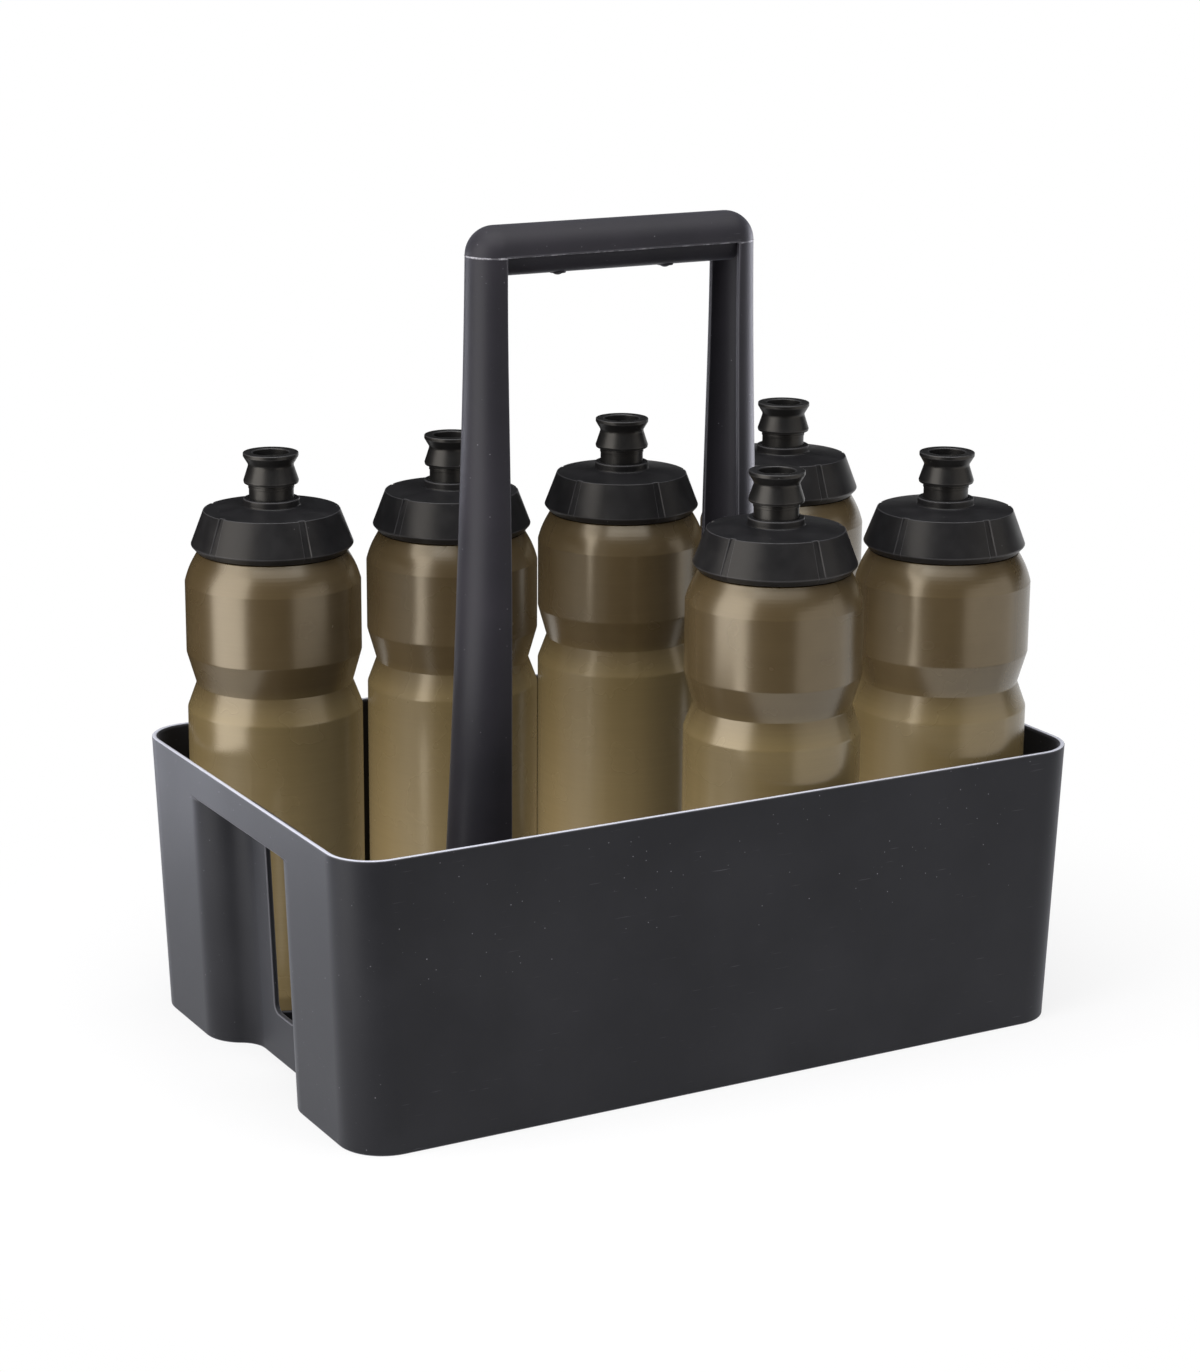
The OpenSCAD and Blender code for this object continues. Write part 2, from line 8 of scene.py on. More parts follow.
import json
import logging
import math
from dataclasses import dataclass, field
from enum import Enum

import bmesh
import bpy
import numpy as np
from mathutils import Matrix, Vector

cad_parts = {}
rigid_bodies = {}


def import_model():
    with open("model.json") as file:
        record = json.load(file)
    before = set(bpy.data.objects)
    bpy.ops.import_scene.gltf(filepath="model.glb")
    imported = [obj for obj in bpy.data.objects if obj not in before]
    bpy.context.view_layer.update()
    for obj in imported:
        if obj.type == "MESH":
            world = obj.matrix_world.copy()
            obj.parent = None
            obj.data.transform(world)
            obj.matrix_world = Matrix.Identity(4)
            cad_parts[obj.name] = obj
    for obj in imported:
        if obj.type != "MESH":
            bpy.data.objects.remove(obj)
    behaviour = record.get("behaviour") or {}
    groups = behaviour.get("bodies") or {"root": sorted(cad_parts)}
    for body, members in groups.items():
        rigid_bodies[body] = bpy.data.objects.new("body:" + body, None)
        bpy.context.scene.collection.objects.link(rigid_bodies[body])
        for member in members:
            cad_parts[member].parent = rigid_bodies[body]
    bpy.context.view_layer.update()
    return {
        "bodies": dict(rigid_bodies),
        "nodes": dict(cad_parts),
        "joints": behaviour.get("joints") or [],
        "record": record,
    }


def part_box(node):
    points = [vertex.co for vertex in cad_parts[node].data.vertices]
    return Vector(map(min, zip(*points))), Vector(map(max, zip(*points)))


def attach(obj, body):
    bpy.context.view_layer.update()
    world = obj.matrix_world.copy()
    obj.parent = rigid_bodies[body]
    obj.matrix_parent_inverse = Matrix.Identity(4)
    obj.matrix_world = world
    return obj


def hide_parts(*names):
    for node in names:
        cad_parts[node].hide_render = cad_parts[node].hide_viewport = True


LOG = logging.getLogger("bottle_carrier")
MM = 0.001


class Slot(Enum):
    """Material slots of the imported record."""

    TRAY = "tray_plastic"
    HANDLE = "handle_plastic"
    BOTTLE = "bottle_plastic"
    CAP = "cap_plastic"
    SPOUT = "spout_rubber"
    SEAL = "seal_silicone"
    SCREW = "screw_steel"


class End(Enum):
    """The two short ends of the tray, as the sign of X."""

    LEFT = -1
    RIGHT = 1


def linear(hex_colour: str) -> tuple[float, float, float, float]:
    """Turns an sRGB hex colour into the linear colour that a shader takes.

    Args:
        hex_colour: A colour such as "#2b2b2e".

    Returns:
        Linear red, green, blue and an alpha of one.
    """
    srgb = np.array([int(hex_colour[i : i + 2], 16) for i in (1, 3, 5)]) / 255
    value = np.where(srgb <= 0.04045, srgb / 12.92, ((srgb + 0.055) / 1.055) ** 2.4)
    return (*value.tolist(), 1.0)


def feed(tree: bpy.types.NodeTree, node: bpy.types.Node, inputs: dict) -> None:
    """Links or sets a node's sockets.

    Args:
        tree: The node's tree.
        node: The node.
        inputs: For a socket's name or number, either a value or the output that feeds it.
    """
    for key, value in inputs.items():
        if isinstance(value, bpy.types.NodeSocket):
            tree.links.new(value, node.inputs[key])
        else:
            node.inputs[key].default_value = value


def add(
    tree: bpy.types.NodeTree, kind: str, inputs: dict | None = None, **settings: object
) -> bpy.types.Node:
    """Adds a node, sets it and links it.

    Args:
        tree: The material's or world's node tree.
        kind: Blender's name of the node type, without "ShaderNode".
        inputs: For a socket's name or number, either a value or the output that feeds it.
        **settings: The node's own properties.

    Returns:
        The new node.
    """
    node = tree.nodes.new(f"ShaderNode{kind}")
    for name, value in settings.items():
        setattr(node, name, value)
    feed(tree, node, inputs or {})
    return node


def noise(
    tree: bpy.types.NodeTree,
    place: bpy.types.NodeSocket,
    size: float,
    detail: float,
    roughness: float = 0.5,
) -> bpy.types.NodeSocket:
    """Adds a cloudy noise.

    Args:
        tree: The node tree.
        place: The place of each point.
        size: Size of its forms in millimetres.
        detail: How many finer layers it has.
        roughness: Weight of each finer layer against the one before.

    Returns:
        The noise, which stays near a half.
    """
    inputs = {"Vector": place, "Scale": 1 / (size * MM), "Detail": detail, "Roughness": roughness}
    return add(tree, "TexNoise", inputs).outputs[0]


def ramp(
    tree: bpy.types.NodeTree,
    value: bpy.types.NodeSocket,
    low: float,
    high: float,
    start: float = 0.0,
    end: float = 1.0,
) -> bpy.types.NodeSocket:
    """Adds an even ramp, which stays at its ends outside its span.

    Args:
        tree: The node tree.
        value: What it follows.
        low: The value at which it starts.
        high: The value at which it ends.
        start: What it gives at its start.
        end: What it gives at its end.

    Returns:
        The ramp.
    """
    return add(tree, "MapRange", {"Value": value, 1: low, 2: high, 3: start, 4: end}).outputs[0]


def blend(
    tree: bpy.types.NodeTree, share: object, under: object, over: object, kind: str = "MIX"
) -> bpy.types.NodeSocket:
    """Lays one colour over another.

    Args:
        tree: The node tree.
        share: Share of the upper colour, a value or an output.
        under: The lower colour, a value or an output.
        over: The upper colour, a value or an output.
        kind: Blender's name for how the two are mixed.

    Returns:
        The mixed colour.
    """
    node = add(tree, "Mix", {0: share, 6: under, 7: over}, data_type="RGBA", blend_type=kind)
    return node.outputs[2]


def product(tree: bpy.types.NodeTree, one: bpy.types.NodeSocket, other: object) -> bpy.types.NodeSocket:
    """Multiplies an output by another output or by a value."""
    return add(tree, "Math", {0: one, 1: other}, operation="MULTIPLY").outputs[0]


def relief(
    tree: bpy.types.NodeTree, height: bpy.types.NodeSocket, strength: float, depth: float
) -> bpy.types.NodeSocket:
    """Adds a fine relief.

    Args:
        tree: The node tree.
        height: Pattern of the relief.
        strength: Share of the relief that shows.
        depth: Its depth in millimetres.

    Returns:
        The bent normal.
    """
    return add(tree, "Bump", {"Height": height, "Strength": strength, "Distance": depth * MM}).outputs[0]


def specks(
    tree: bpy.types.NodeTree,
    place: bpy.types.NodeSocket,
    gap: float,
    reach: tuple[float, float],
    picked: tuple[float, float],
    most: float,
) -> bpy.types.NodeSocket:
    """Adds a share of dust: a speck in the middle of some cells of a pattern.

    Args:
        tree: The node tree.
        place: The place of each point.
        gap: Width of a cell in millimetres.
        reach: Distances from a cell's middle, as shares of its width, where a speck begins and
            where it is whole.
        picked: The cell's random value at which its speck begins to show and shows most.
        most: Greatest share of dust.

    Returns:
        The share of dust.
    """
    cells = add(tree, "TexVoronoi", {"Vector": place, "Scale": 1 / (gap * MM)})
    near = ramp(tree, cells.outputs["Distance"], *reach)
    return product(tree, near, ramp(tree, cells.outputs["Color"], *picked, 0.0, most))


def blank(name: str) -> tuple[bpy.types.Material, bpy.types.NodeTree, bpy.types.NodeSocket]:
    """Starts a material.

    Args:
        name: Its name.

    Returns:
        The material, its node tree and the place of each point in the object's own axes.
    """
    made = bpy.data.materials.new(name)
    made.use_nodes = True
    return made, made.node_tree, add(made.node_tree, "TexCoord").outputs["Object"]


def finish(tree: bpy.types.NodeTree, inputs: dict) -> None:
    """Feeds the material's own shader."""
    feed(tree, tree.nodes["Principled BSDF"], inputs)


@dataclass(frozen=True)
class MouldedPolypropylene:
    """Black polypropylene from a finely eroded steel mould.

    The mould gives an even satin grain; handling leaves cloudy patches, pale dust that sits in
    the grain, and short scuffs. Fine dust also gives a faint pale bloom to faces seen at a slant.
    Where the mould's halves meet, a crumbly pale line stays. Sharp edges are painted paler, partly wear and
    partly a painted highlight, and the rim's top is painted pale as a painted highlight.
    """

    name: str
    colour: str
    cloud: str
    dust: str = "#a19da6"
    roughness: float = 0.48
    specular: float = 0.12
    grain: float = 0.6
    grain_depth: float = 0.06
    cloud_size: float = 55.0
    dust_gap: float = 3.6
    scuff_length: float = 14.0
    scuff_turn: tuple[float, float, float] = (0.4, 0.9, 0.3)
    # Colour of sharp edges: partly wear, partly a painted highlight.
    worn: str = "#77767c"
    edge_wear_and_highlight_share: float = 0.3
    parting_z: float = -1000.0
    flash: str = "#b9b7bd"
    rim_z: float = 1000.0
    rim_depth: float = 0.15
    # Colour painted on the rim's top: a painted highlight.
    rim_painted_highlight: str = "#c6c8d4"
    rim_roughness: float = 0.2
    bloom: float = 0.2
    bloom_tint: str = "#dfe2f0"

    def material(self) -> bpy.types.Material:
        """Builds the material.

        Returns:
            The material.
        """
        made, tree, place = blank(self.name)
        cloud = noise(tree, place, self.cloud_size, 5.0)
        body = blend(tree, ramp(tree, cloud, 0.38, 0.68), linear(self.colour), linear(self.cloud))
        dust = specks(tree, place, self.dust_gap, (0.08, 0.03), (0.5, 0.95), 0.75)
        dusty = blend(tree, dust, body, linear(self.dust))
        mapped = {"Vector": place, "Rotation": self.scuff_turn, "Scale": (1.0, 24.0, 24.0)}
        lines = noise(tree, add(tree, "Mapping", mapped).outputs[0], self.scuff_length, 2.0)
        scuffed = blend(tree, ramp(tree, lines, 0.72, 0.8, 0.0, 0.12), dusty, linear(self.dust))
        # Sharp outer edges take a paler colour: partly wear, partly a painted highlight along the edges.
        edge_wear_and_highlight = add(tree, "Attribute", attribute_name="edge_wear_and_highlight").outputs["Fac"]
        edged = blend(tree, product(tree, edge_wear_and_highlight, self.edge_wear_and_highlight_share), scuffed, linear(self.worn))
        height = add(tree, "SeparateXYZ", {0: place}).outputs[2]
        above = add(tree, "Math", {0: height, 1: -self.parting_z * MM}, operation="ADD").outputs[0]
        away = add(tree, "Math", {0: above}, operation="ABSOLUTE").outputs[0]
        crumbs = ramp(tree, noise(tree, place, 5.0, 5.0, 0.7), 0.48, 0.62, 0.1, 0.9)
        seam = product(tree, ramp(tree, away, 0.5 * MM, 0.2 * MM), crumbs)
        flashed = blend(tree, seam, edged, linear(self.flash))
        rough = ramp(tree, cloud, 0.3, 0.7, self.roughness - 0.05, self.roughness + 0.06)
        # The trimmed rim is bare and burnished, so it is smoother than the skin, and its colour is painted
        # pale: a painted highlight along the rim's top.
        rim = ramp(tree, height, (self.rim_z - self.rim_depth) * MM, self.rim_z * MM)
        # The grain is drawn about twice as coarse as the real one, so that it shows at this size.
        grain = noise(tree, place, self.grain, 3.0)
        inputs = {
            "Base Color": blend(tree, rim, flashed, linear(self.rim_painted_highlight)),
            "Roughness": add(tree, "Mix", {0: rim, 2: rough, 3: self.rim_roughness}).outputs[0],
            "Normal": relief(tree, grain, 0.35, self.grain_depth),
            "IOR": 1.49,
            "Specular IOR Level": self.specular,
            "Sheen Weight": self.bloom,
            "Sheen Roughness": 0.4,
            "Sheen Tint": linear(self.bloom_tint),
        }
        finish(tree, inputs)
        return made


@dataclass(frozen=True)
class SmokyPolyethylene:
    """Smoke-tinted low-density polyethylene, blown into a mould.

    Blowing leaves a faintly pebbled skin and level lines where the wall drew out, under a waxy
    shine that smears every reflection. Below the waist, and more so further down, the body is
    painted paler: painted light on the lower body.
    """

    name: str = "blown_smoky_polyethylene"
    colour: str = "#4b402d"
    thick: str = "#433825"
    painted_light_below_waist: str = "#62563b"
    painted_light_near_foot: str = "#786b4e"
    cloud_size: float = 30.0
    waist_z: float = 146.5
    painted_light_start_z: float = 130.0
    painted_light_full_z: float = 60.0
    roughness: float = 0.26
    specular: float = 0.9
    shine: str = "#fff7e6"
    pebble: float = 0.7
    line_gap: float = 0.9
    line_share: float = 0.8

    def material(self) -> bpy.types.Material:
        """Builds the material.

        Returns:
            The material.
        """
        made, tree, place = blank(self.name)
        drawn = add(tree, "Mapping", {"Vector": place, "Scale": (0.02, 0.02, 1.0)}).outputs[0]
        level = noise(tree, drawn, self.line_gap, 2.0)
        pebbles = noise(tree, place, self.pebble, 0.0)
        height = add(tree, "Mix", {0: self.line_share, 2: pebbles, 3: level}).outputs[0]
        cloud = noise(tree, place, self.cloud_size, 3.0)
        body = blend(tree, ramp(tree, cloud, 0.35, 0.7), linear(self.colour), linear(self.thick))
        z = add(tree, "SeparateXYZ", {0: place}).outputs[2]
        # Painted light: below the waist, and more so towards the foot, the colour is painted paler.
        below = ramp(tree, z, (self.waist_z + 4) * MM, (self.waist_z - 9) * MM)
        deep = ramp(tree, z, self.painted_light_start_z * MM, self.painted_light_full_z * MM)
        painted_lighter_below_waist = blend(tree, below, body, linear(self.painted_light_below_waist))
        painted_lighter_near_foot = blend(tree, deep, painted_lighter_below_waist, linear(self.painted_light_near_foot))
        grain = ramp(tree, height, 0.3, 0.7, 0.97, 1.04)
        inputs = {
            "Base Color": blend(tree, 1.0, painted_lighter_near_foot, grain, "MULTIPLY"),
            "Roughness": ramp(tree, cloud, 0.3, 0.7, self.roughness - 0.02, self.roughness + 0.03),
            "Normal": relief(tree, height, 0.2, 0.02),
            "IOR": 1.51,
            "Specular IOR Level": self.specular,
            "Specular Tint": linear(self.shine),
        }
        finish(tree, inputs)
        return made


@dataclass(frozen=True)
class SoftMoulding:
    """A soft or small moulding with an even skin: cap polypropylene, rubber or silicone.

    Its mould is polished or finely blasted, so it shows little but a faint grain and the odd
    speck of dust.
    """

    name: str
    colour: str
    worn: str
    roughness: float
    specular: float
    grain: float
    ior: float = 1.5
    cloud_size: float = 9.0
    dust: str = "#9a989c"
    dust_gap: float = 3.5
    # Colour of sharp edges: partly wear, partly a painted highlight.
    edge: str = "#75757a"
    edge_wear_and_highlight_share: float = 0.22

    def material(self) -> bpy.types.Material:
        """Builds the material.

        Returns:
            The material.
        """
        made, tree, place = blank(self.name)
        cloud = noise(tree, place, self.cloud_size, 4.0)
        body = blend(tree, ramp(tree, cloud, 0.4, 0.7), linear(self.colour), linear(self.worn))
        dust = specks(tree, place, self.dust_gap, (0.075, 0.04), (0.72, 0.9), 0.7)
        dusty = blend(tree, dust, body, linear(self.dust))
        # Sharp outer edges take the paler edge colour: partly wear, partly a painted highlight.
        edge_wear_and_highlight = add(tree, "Attribute", attribute_name="edge_wear_and_highlight").outputs["Fac"]
        inputs = {
            "Base Color": blend(tree, product(tree, edge_wear_and_highlight, self.edge_wear_and_highlight_share), dusty, linear(self.edge)),
            "Roughness": ramp(tree, cloud, 0.3, 0.7, self.roughness - 0.04, self.roughness + 0.05),
            "Normal": relief(tree, noise(tree, place, self.grain, 3.0), 0.25, 0.04),
            "IOR": self.ior,
            "Specular IOR Level": self.specular,
        }
        finish(tree, inputs)
        return made


@dataclass(frozen=True)
class ZincPlatedSteel:
    """Zinc-plated steel: pale grey metal with faint stains and a fine uneven skin."""

    name: str = "turned_zinc_plated_steel"
    colour: str = "#b4b7ba"
    stain: str = "#8f9086"
    stain_size: float = 2.5
    skin_size: float = 0.35

    def material(self) -> bpy.types.Material:
        """Builds the material.

        Returns:
            The material.
        """
        made, tree, place = blank(self.name)
        cloud = noise(tree, place, self.stain_size, 3.0)
        inputs = {
            "Base Color": blend(tree, cloud, linear(self.colour), linear(self.stain)),
            "Roughness": ramp(tree, cloud, 0.0, 1.0, 0.26, 0.42),
            "Normal": relief(tree, noise(tree, place, self.skin_size, 2.0), 0.2, 0.02),
            "Metallic": 1.0,
        }
        finish(tree, inputs)
        return made


def finishes() -> dict[Slot, bpy.types.Material]:
    """Builds one material for each slot of the record.

    Returns:
        The material of each slot.
    """
    # The rim's painted highlight is whole from just under the tray's top. The tray's sharp edges get a
    # larger share of the paler edge colour, partly wear and partly painted highlight.
    rim_z = Tray.height - 0.04
    tray = MouldedPolypropylene(
        "moulded_polypropylene_tray", "#222225", "#29292c", edge_wear_and_highlight_share=0.45, rim_z=rim_z
    )
    handle = MouldedPolypropylene(
        "moulded_polypropylene_handle",
        "#252428",
        "#2c2a2f",
        roughness=0.44,
        specular=0.14,
        bloom=0.12,
        scuff_length=9.0,
        parting_z=BowHandle.parting_z,
    )
    rubber = SoftMoulding(
        "moulded_thermoplastic_rubber", "#131314", "#19191a", 0.36, 0.35, 0.4, edge_wear_and_highlight_share=0.12
    )
    made = {
        Slot.TRAY: tray,
        Slot.HANDLE: handle,
        Slot.BOTTLE: SmokyPolyethylene(),
        Slot.CAP: SoftMoulding("moulded_polypropylene_cap", "#18181a", "#1e1e20", 0.36, 0.22, 0.5),
        Slot.SPOUT: rubber,
        Slot.SEAL: SoftMoulding("pressed_silicone_rubber", "#8c8c88", "#989893", 0.5, 0.4, 0.5, ior=1.43),
        Slot.SCREW: ZincPlatedSteel(),
    }
    return {slot: look.material() for slot, look in made.items()}


def fillet_path(
    corners: list | np.ndarray, radii: list | float, steps: int = 4, guard: float = 0.25
) -> np.ndarray:
    """Closed outline whose corners are arcs tangent to both of their sides.

    Where the sides turn by an angle a, an arc of radius r starts r tan(a / 2) before the corner.
    Its centre lies r to the side of that point, and its points turn evenly about the centre. A
    guard point on each side, next to the arc, keeps the shading of the side flat.

    Args:
        corners: Corner points, (n, 2).
        radii: One radius, or one for each corner.
        steps: Steps in each arc.
        guard: Distance from an arc to its guard points.

    Returns:
        The outline, (n * (steps + 3), 2). Corner k has the points from k * (steps + 3) on.
    """
    corner = np.asarray(corners, float)
    radius = np.broadcast_to(np.asarray(radii, float), len(corner))
    side = corner - np.roll(corner, 1, axis=0)
    length = np.linalg.norm(side, axis=1)
    ahead = side / length[:, None]
    leaving = np.roll(ahead, -1, axis=0)
    turn = np.arctan2(
        ahead[:, 0] * leaving[:, 1] - ahead[:, 1] * leaving[:, 0], (ahead * leaving).sum(axis=1)
    )
    reach = radius * np.tan(np.abs(turn) / 2)
    spoke = np.stack([ahead[:, 1], -ahead[:, 0]], axis=1) * np.sign(turn)[:, None]
    start = corner - reach[:, None] * ahead
    centre = start - radius[:, None] * spoke
    angle = turn[:, None] * np.linspace(0, 1, steps + 1)
    cos, sin = np.cos(angle), np.sin(angle)
    swung = np.stack(
        [
            spoke[:, 0, None] * cos - spoke[:, 1, None] * sin,
            spoke[:, 0, None] * sin + spoke[:, 1, None] * cos,
        ],
        axis=-1,
    )
    arc = centre[:, None] + radius[:, None, None] * swung
    room = np.minimum(guard, 0.4 * (length - reach - np.roll(reach, 1)))
    before = start - room[:, None] * ahead
    after = corner + (reach + np.roll(room, -1))[:, None] * leaving
    return np.concatenate([before[:, None], arc, after[:, None]], axis=1).reshape(-1, 2)


def quarter(steps: int = 4) -> tuple[np.ndarray, np.ndarray]:
    """Sine and one minus cosine of a quarter turn in even steps: the two legs of a round edge."""
    angle = np.linspace(0, math.pi / 2, steps + 1)
    return np.sin(angle), 1 - np.cos(angle)


def lathe(
    outline: np.ndarray,
    centre: np.ndarray,
    angles: np.ndarray | int = 72,
    sink: object = None,
) -> np.ndarray:
    """Surface of revolution about an upright axis.

    A point (r, z) of the outline goes round the axis: x = cx + r cos a, y = cy + r sin a. Where
    sink is given, r is made smaller by sink(a, r, z), which cuts grooves or raises threads.

    Args:
        outline: Points (r, z), (n, 2), with z above the centre's.
        centre: The axis' foot, (3,).
        angles: The angles of the columns, or how many there are.
        sink: A function of whole arrays, or None.

    Returns:
        The surface, (n, columns, 3).
    """
    if isinstance(angles, int):
        angles = np.linspace(0, 2 * math.pi, angles, endpoint=False)
    a, r = np.meshgrid(angles, outline[:, 0])
    z = np.broadcast_to(outline[:, 1][:, None], a.shape)
    if sink is not None:
        r = r - sink(a, r, z)
    return np.stack([centre[0] + r * np.cos(a), centre[1] + r * np.sin(a), centre[2] + z], axis=-1)


def prism(plan: np.ndarray, low: float, high: float, edge: float) -> np.ndarray:
    """Upright prism with rounded upper and lower edges, as rows of a closed grid.

    A row is the plan drawn in towards its middle by the edge radius times one minus the cosine
    of an angle, at a height moved by the radius times one minus its sine.

    Args:
        plan: Points (x, y) of the outline, (n, 2).
        low: Height of the underside.
        high: Height of the top.
        edge: Radius of the edges.

    Returns:
        The side surface, (rows, n, 3); its first and last rows bound the two flat faces.
    """
    sin, versed = quarter()
    middle = (plan.max(axis=0) + plan.min(axis=0)) / 2
    half = (plan.max(axis=0) - plan.min(axis=0)) / 2
    inset = np.concatenate([edge * (1 - sin), edge * versed])
    height = np.concatenate([low + edge * versed, high - edge * (1 - sin)])
    share = 1 - inset[:, None, None] / half
    points = middle + (plan - middle) * share
    return np.concatenate([points, np.broadcast_to(height[:, None, None], (*points.shape[:2], 1))], axis=-1)


def read(items: object, name: str, shape: tuple[int, ...], kind: type = float) -> np.ndarray:
    """Reads one property of all of a mesh's items.

    Args:
        items: The mesh's points, edges, loops or faces.
        name: The property.
        shape: Shape of the array.
        kind: Type of its numbers.

    Returns:
        The array.
    """
    values = np.empty(int(np.prod(shape)), kind)
    items.foreach_get(name, values)
    return values.reshape(shape)


def mark_edge_wear_and_highlight(mesh: bpy.types.Mesh, worn_r: float = 0.55, whole_r: float = 1.6) -> None:
    """Writes the attribute "wear": one on sharp outer edges and nothing on broad faces.

    Across an edge the bend is the angle between the normals of its two faces over the distance
    between their middles, square to the edge. A point takes the greatest bend of its outward
    edges. The value grows evenly with the bend from one over whole_r to one over worn_r. The
    materials paint these edges paler: partly wear, partly a painted highlight along the edges.

    Args:
        mesh: The finished mesh.
        worn_r: Radius in millimetres of an edge that is fully worn.
        whole_r: Radius in millimetres of an edge that isn't worn at all.
    """
    edge_of = read(mesh.loops, "edge_index", (len(mesh.loops),), np.int32)
    sizes = read(mesh.polygons, "loop_total", (len(mesh.polygons),), np.int32)
    face_of = np.repeat(np.arange(len(sizes)), sizes)
    order = np.argsort(edge_of, kind="stable")
    two = np.bincount(edge_of, minlength=len(mesh.edges)) == 2
    pair = face_of[order][two[edge_of[order]]].reshape(-1, 2)
    ends = read(mesh.edges, "vertices", (len(mesh.edges), 2), np.int32)[two]
    point = read(mesh.vertices, "co", (len(mesh.vertices), 3)) / MM
    normal = read(mesh.polygons, "normal", (len(sizes), 3))[pair]
    step = np.diff(read(mesh.polygons, "center", (len(sizes), 3))[pair] / MM, axis=1)[:, 0]
    along = point[ends[:, 1]] - point[ends[:, 0]]
    along /= np.maximum(np.linalg.norm(along, axis=1), 1e-9)[:, None]
    across = np.linalg.norm(step - (step * along).sum(axis=1)[:, None] * along, axis=1)
    turn = np.arccos(np.clip((normal[:, 0] * normal[:, 1]).sum(axis=1), -1, 1))
    outward = (step * normal[:, 0]).sum(axis=1) < 0
    bend = np.where(outward, turn / np.maximum(across, 0.02), 0.0)
    worst = np.zeros(len(point))
    np.maximum.at(worst, ends.ravel(), np.repeat(bend, 2))
    edge_wear_and_highlight = np.clip((worst - 1 / whole_r) / (1 / worn_r - 1 / whole_r), 0, 1)
    mesh.attributes.new("edge_wear_and_highlight", "FLOAT", "POINT").data.foreach_set("value", edge_wear_and_highlight.astype(np.float32))


@dataclass
class Skin:
    """Collects grids of points and makes one closed mesh of them."""

    points: list[np.ndarray] = field(default_factory=list)
    quads: list[np.ndarray] = field(default_factory=list)
    plates: list[np.ndarray] = field(default_factory=list)
    count: int = 0

    def grid(
        self,
        surface: np.ndarray,
        wrap: tuple[bool, bool] = (True, True),
        keep: np.ndarray | None = None,
    ) -> None:
        """Adds a grid of quads.

        Args:
            surface: Points, (rows, columns, 3).
            wrap: Whether the last row and the last column join the first.
            keep: Which quads to make, (rows, columns), or all of them.
        """
        rows, columns = surface.shape[:2]
        index = np.arange(rows * columns).reshape(rows, columns) + self.count
        up, across = np.roll(index, -1, axis=0), np.roll(index, -1, axis=1)
        both = np.roll(up, -1, axis=1)
        mask = np.ones((rows, columns), bool) if keep is None else keep.copy()
        mask[rows if wrap[0] else rows - 1 :, :] = False
        mask[:, columns if wrap[1] else columns - 1 :] = False
        self.quads.append(np.stack([index, across, both, up], axis=-1)[mask])
        self.points.append(surface.reshape(-1, 3))
        self.count += rows * columns

    def plate(self, ring: np.ndarray) -> None:
        """Adds one flat face.

        Args:
            ring: The points round it, (n, 3).
        """
        self.plates.append(np.arange(len(ring)) + self.count)
        self.points.append(ring)
        self.count += len(ring)

    def block(self, sides: np.ndarray) -> None:
        """Adds a closed block.

        Args:
            sides: Rows of its side, which wrap around; the first and the last bound its ends.
        """
        self.grid(sides, (False, True))
        self.plate(sides[0])
        self.plate(sides[-1])

    def build(self, name: str, material: bpy.types.Material, sharp: float = 34.0) -> bpy.types.Object:
        """Makes the object: merges doubles, turns faces outwards and shades it smooth.

        Args:
            name: The object's name.
            material: Its material.
            sharp: Edges that turn by more degrees than this stay sharp.

        Returns:
            The object, at the origin.
        """
        mesh = bpy.data.meshes.new(name)
        points = np.concatenate(self.points) * MM
        quads = np.concatenate(self.quads)
        corners = np.concatenate([quads.ravel(), *self.plates]).astype(np.int32)
        sizes = np.concatenate([np.full(len(quads), 4), [len(p) for p in self.plates]]).astype(np.int32)
        starts = np.concatenate([[0], np.cumsum(sizes)[:-1]]).astype(np.int32)
        mesh.vertices.add(len(points))
        mesh.vertices.foreach_set("co", points.ravel())
        mesh.loops.add(len(corners))
        mesh.loops.foreach_set("vertex_index", corners)
        mesh.polygons.add(len(sizes))
        mesh.polygons.foreach_set("loop_start", starts)
        mesh.update(calc_edges=True)
        shell = bmesh.new()
        shell.from_mesh(mesh)
        bmesh.ops.remove_doubles(shell, verts=shell.verts, dist=0.002 * MM)
        loose = [edge for edge in shell.edges if not edge.link_faces]
        bmesh.ops.delete(shell, geom=loose, context="EDGES")
        bmesh.ops.recalc_face_normals(shell, faces=shell.faces)
        open_edges = sum(not edge.is_manifold for edge in shell.edges)
        shell.to_mesh(mesh)
        shell.free()
        mark_edge_wear_and_highlight(mesh)
        mesh.shade_smooth()
        mesh.set_sharp_from_angle(angle=math.radians(sharp))
        mesh.materials.append(material)
        made = bpy.data.objects.new(name, mesh)
        bpy.context.scene.collection.objects.link(made)
        LOG.info("%s: %d faces, %d open edges", name, len(mesh.polygons), open_edges)
        return made


def dress(piece: bpy.types.Object, node: str, body: str) -> None:
    """Puts a finished piece in the place of its CAD node.

    Args:
        piece: The piece.
        node: The CAD node that it stands for.
        body: The body that it rides on.
    """
    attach(piece, body)
    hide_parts(node)
    LOG.info("%s stands for %s and rides on %s", piece.name, node, body)


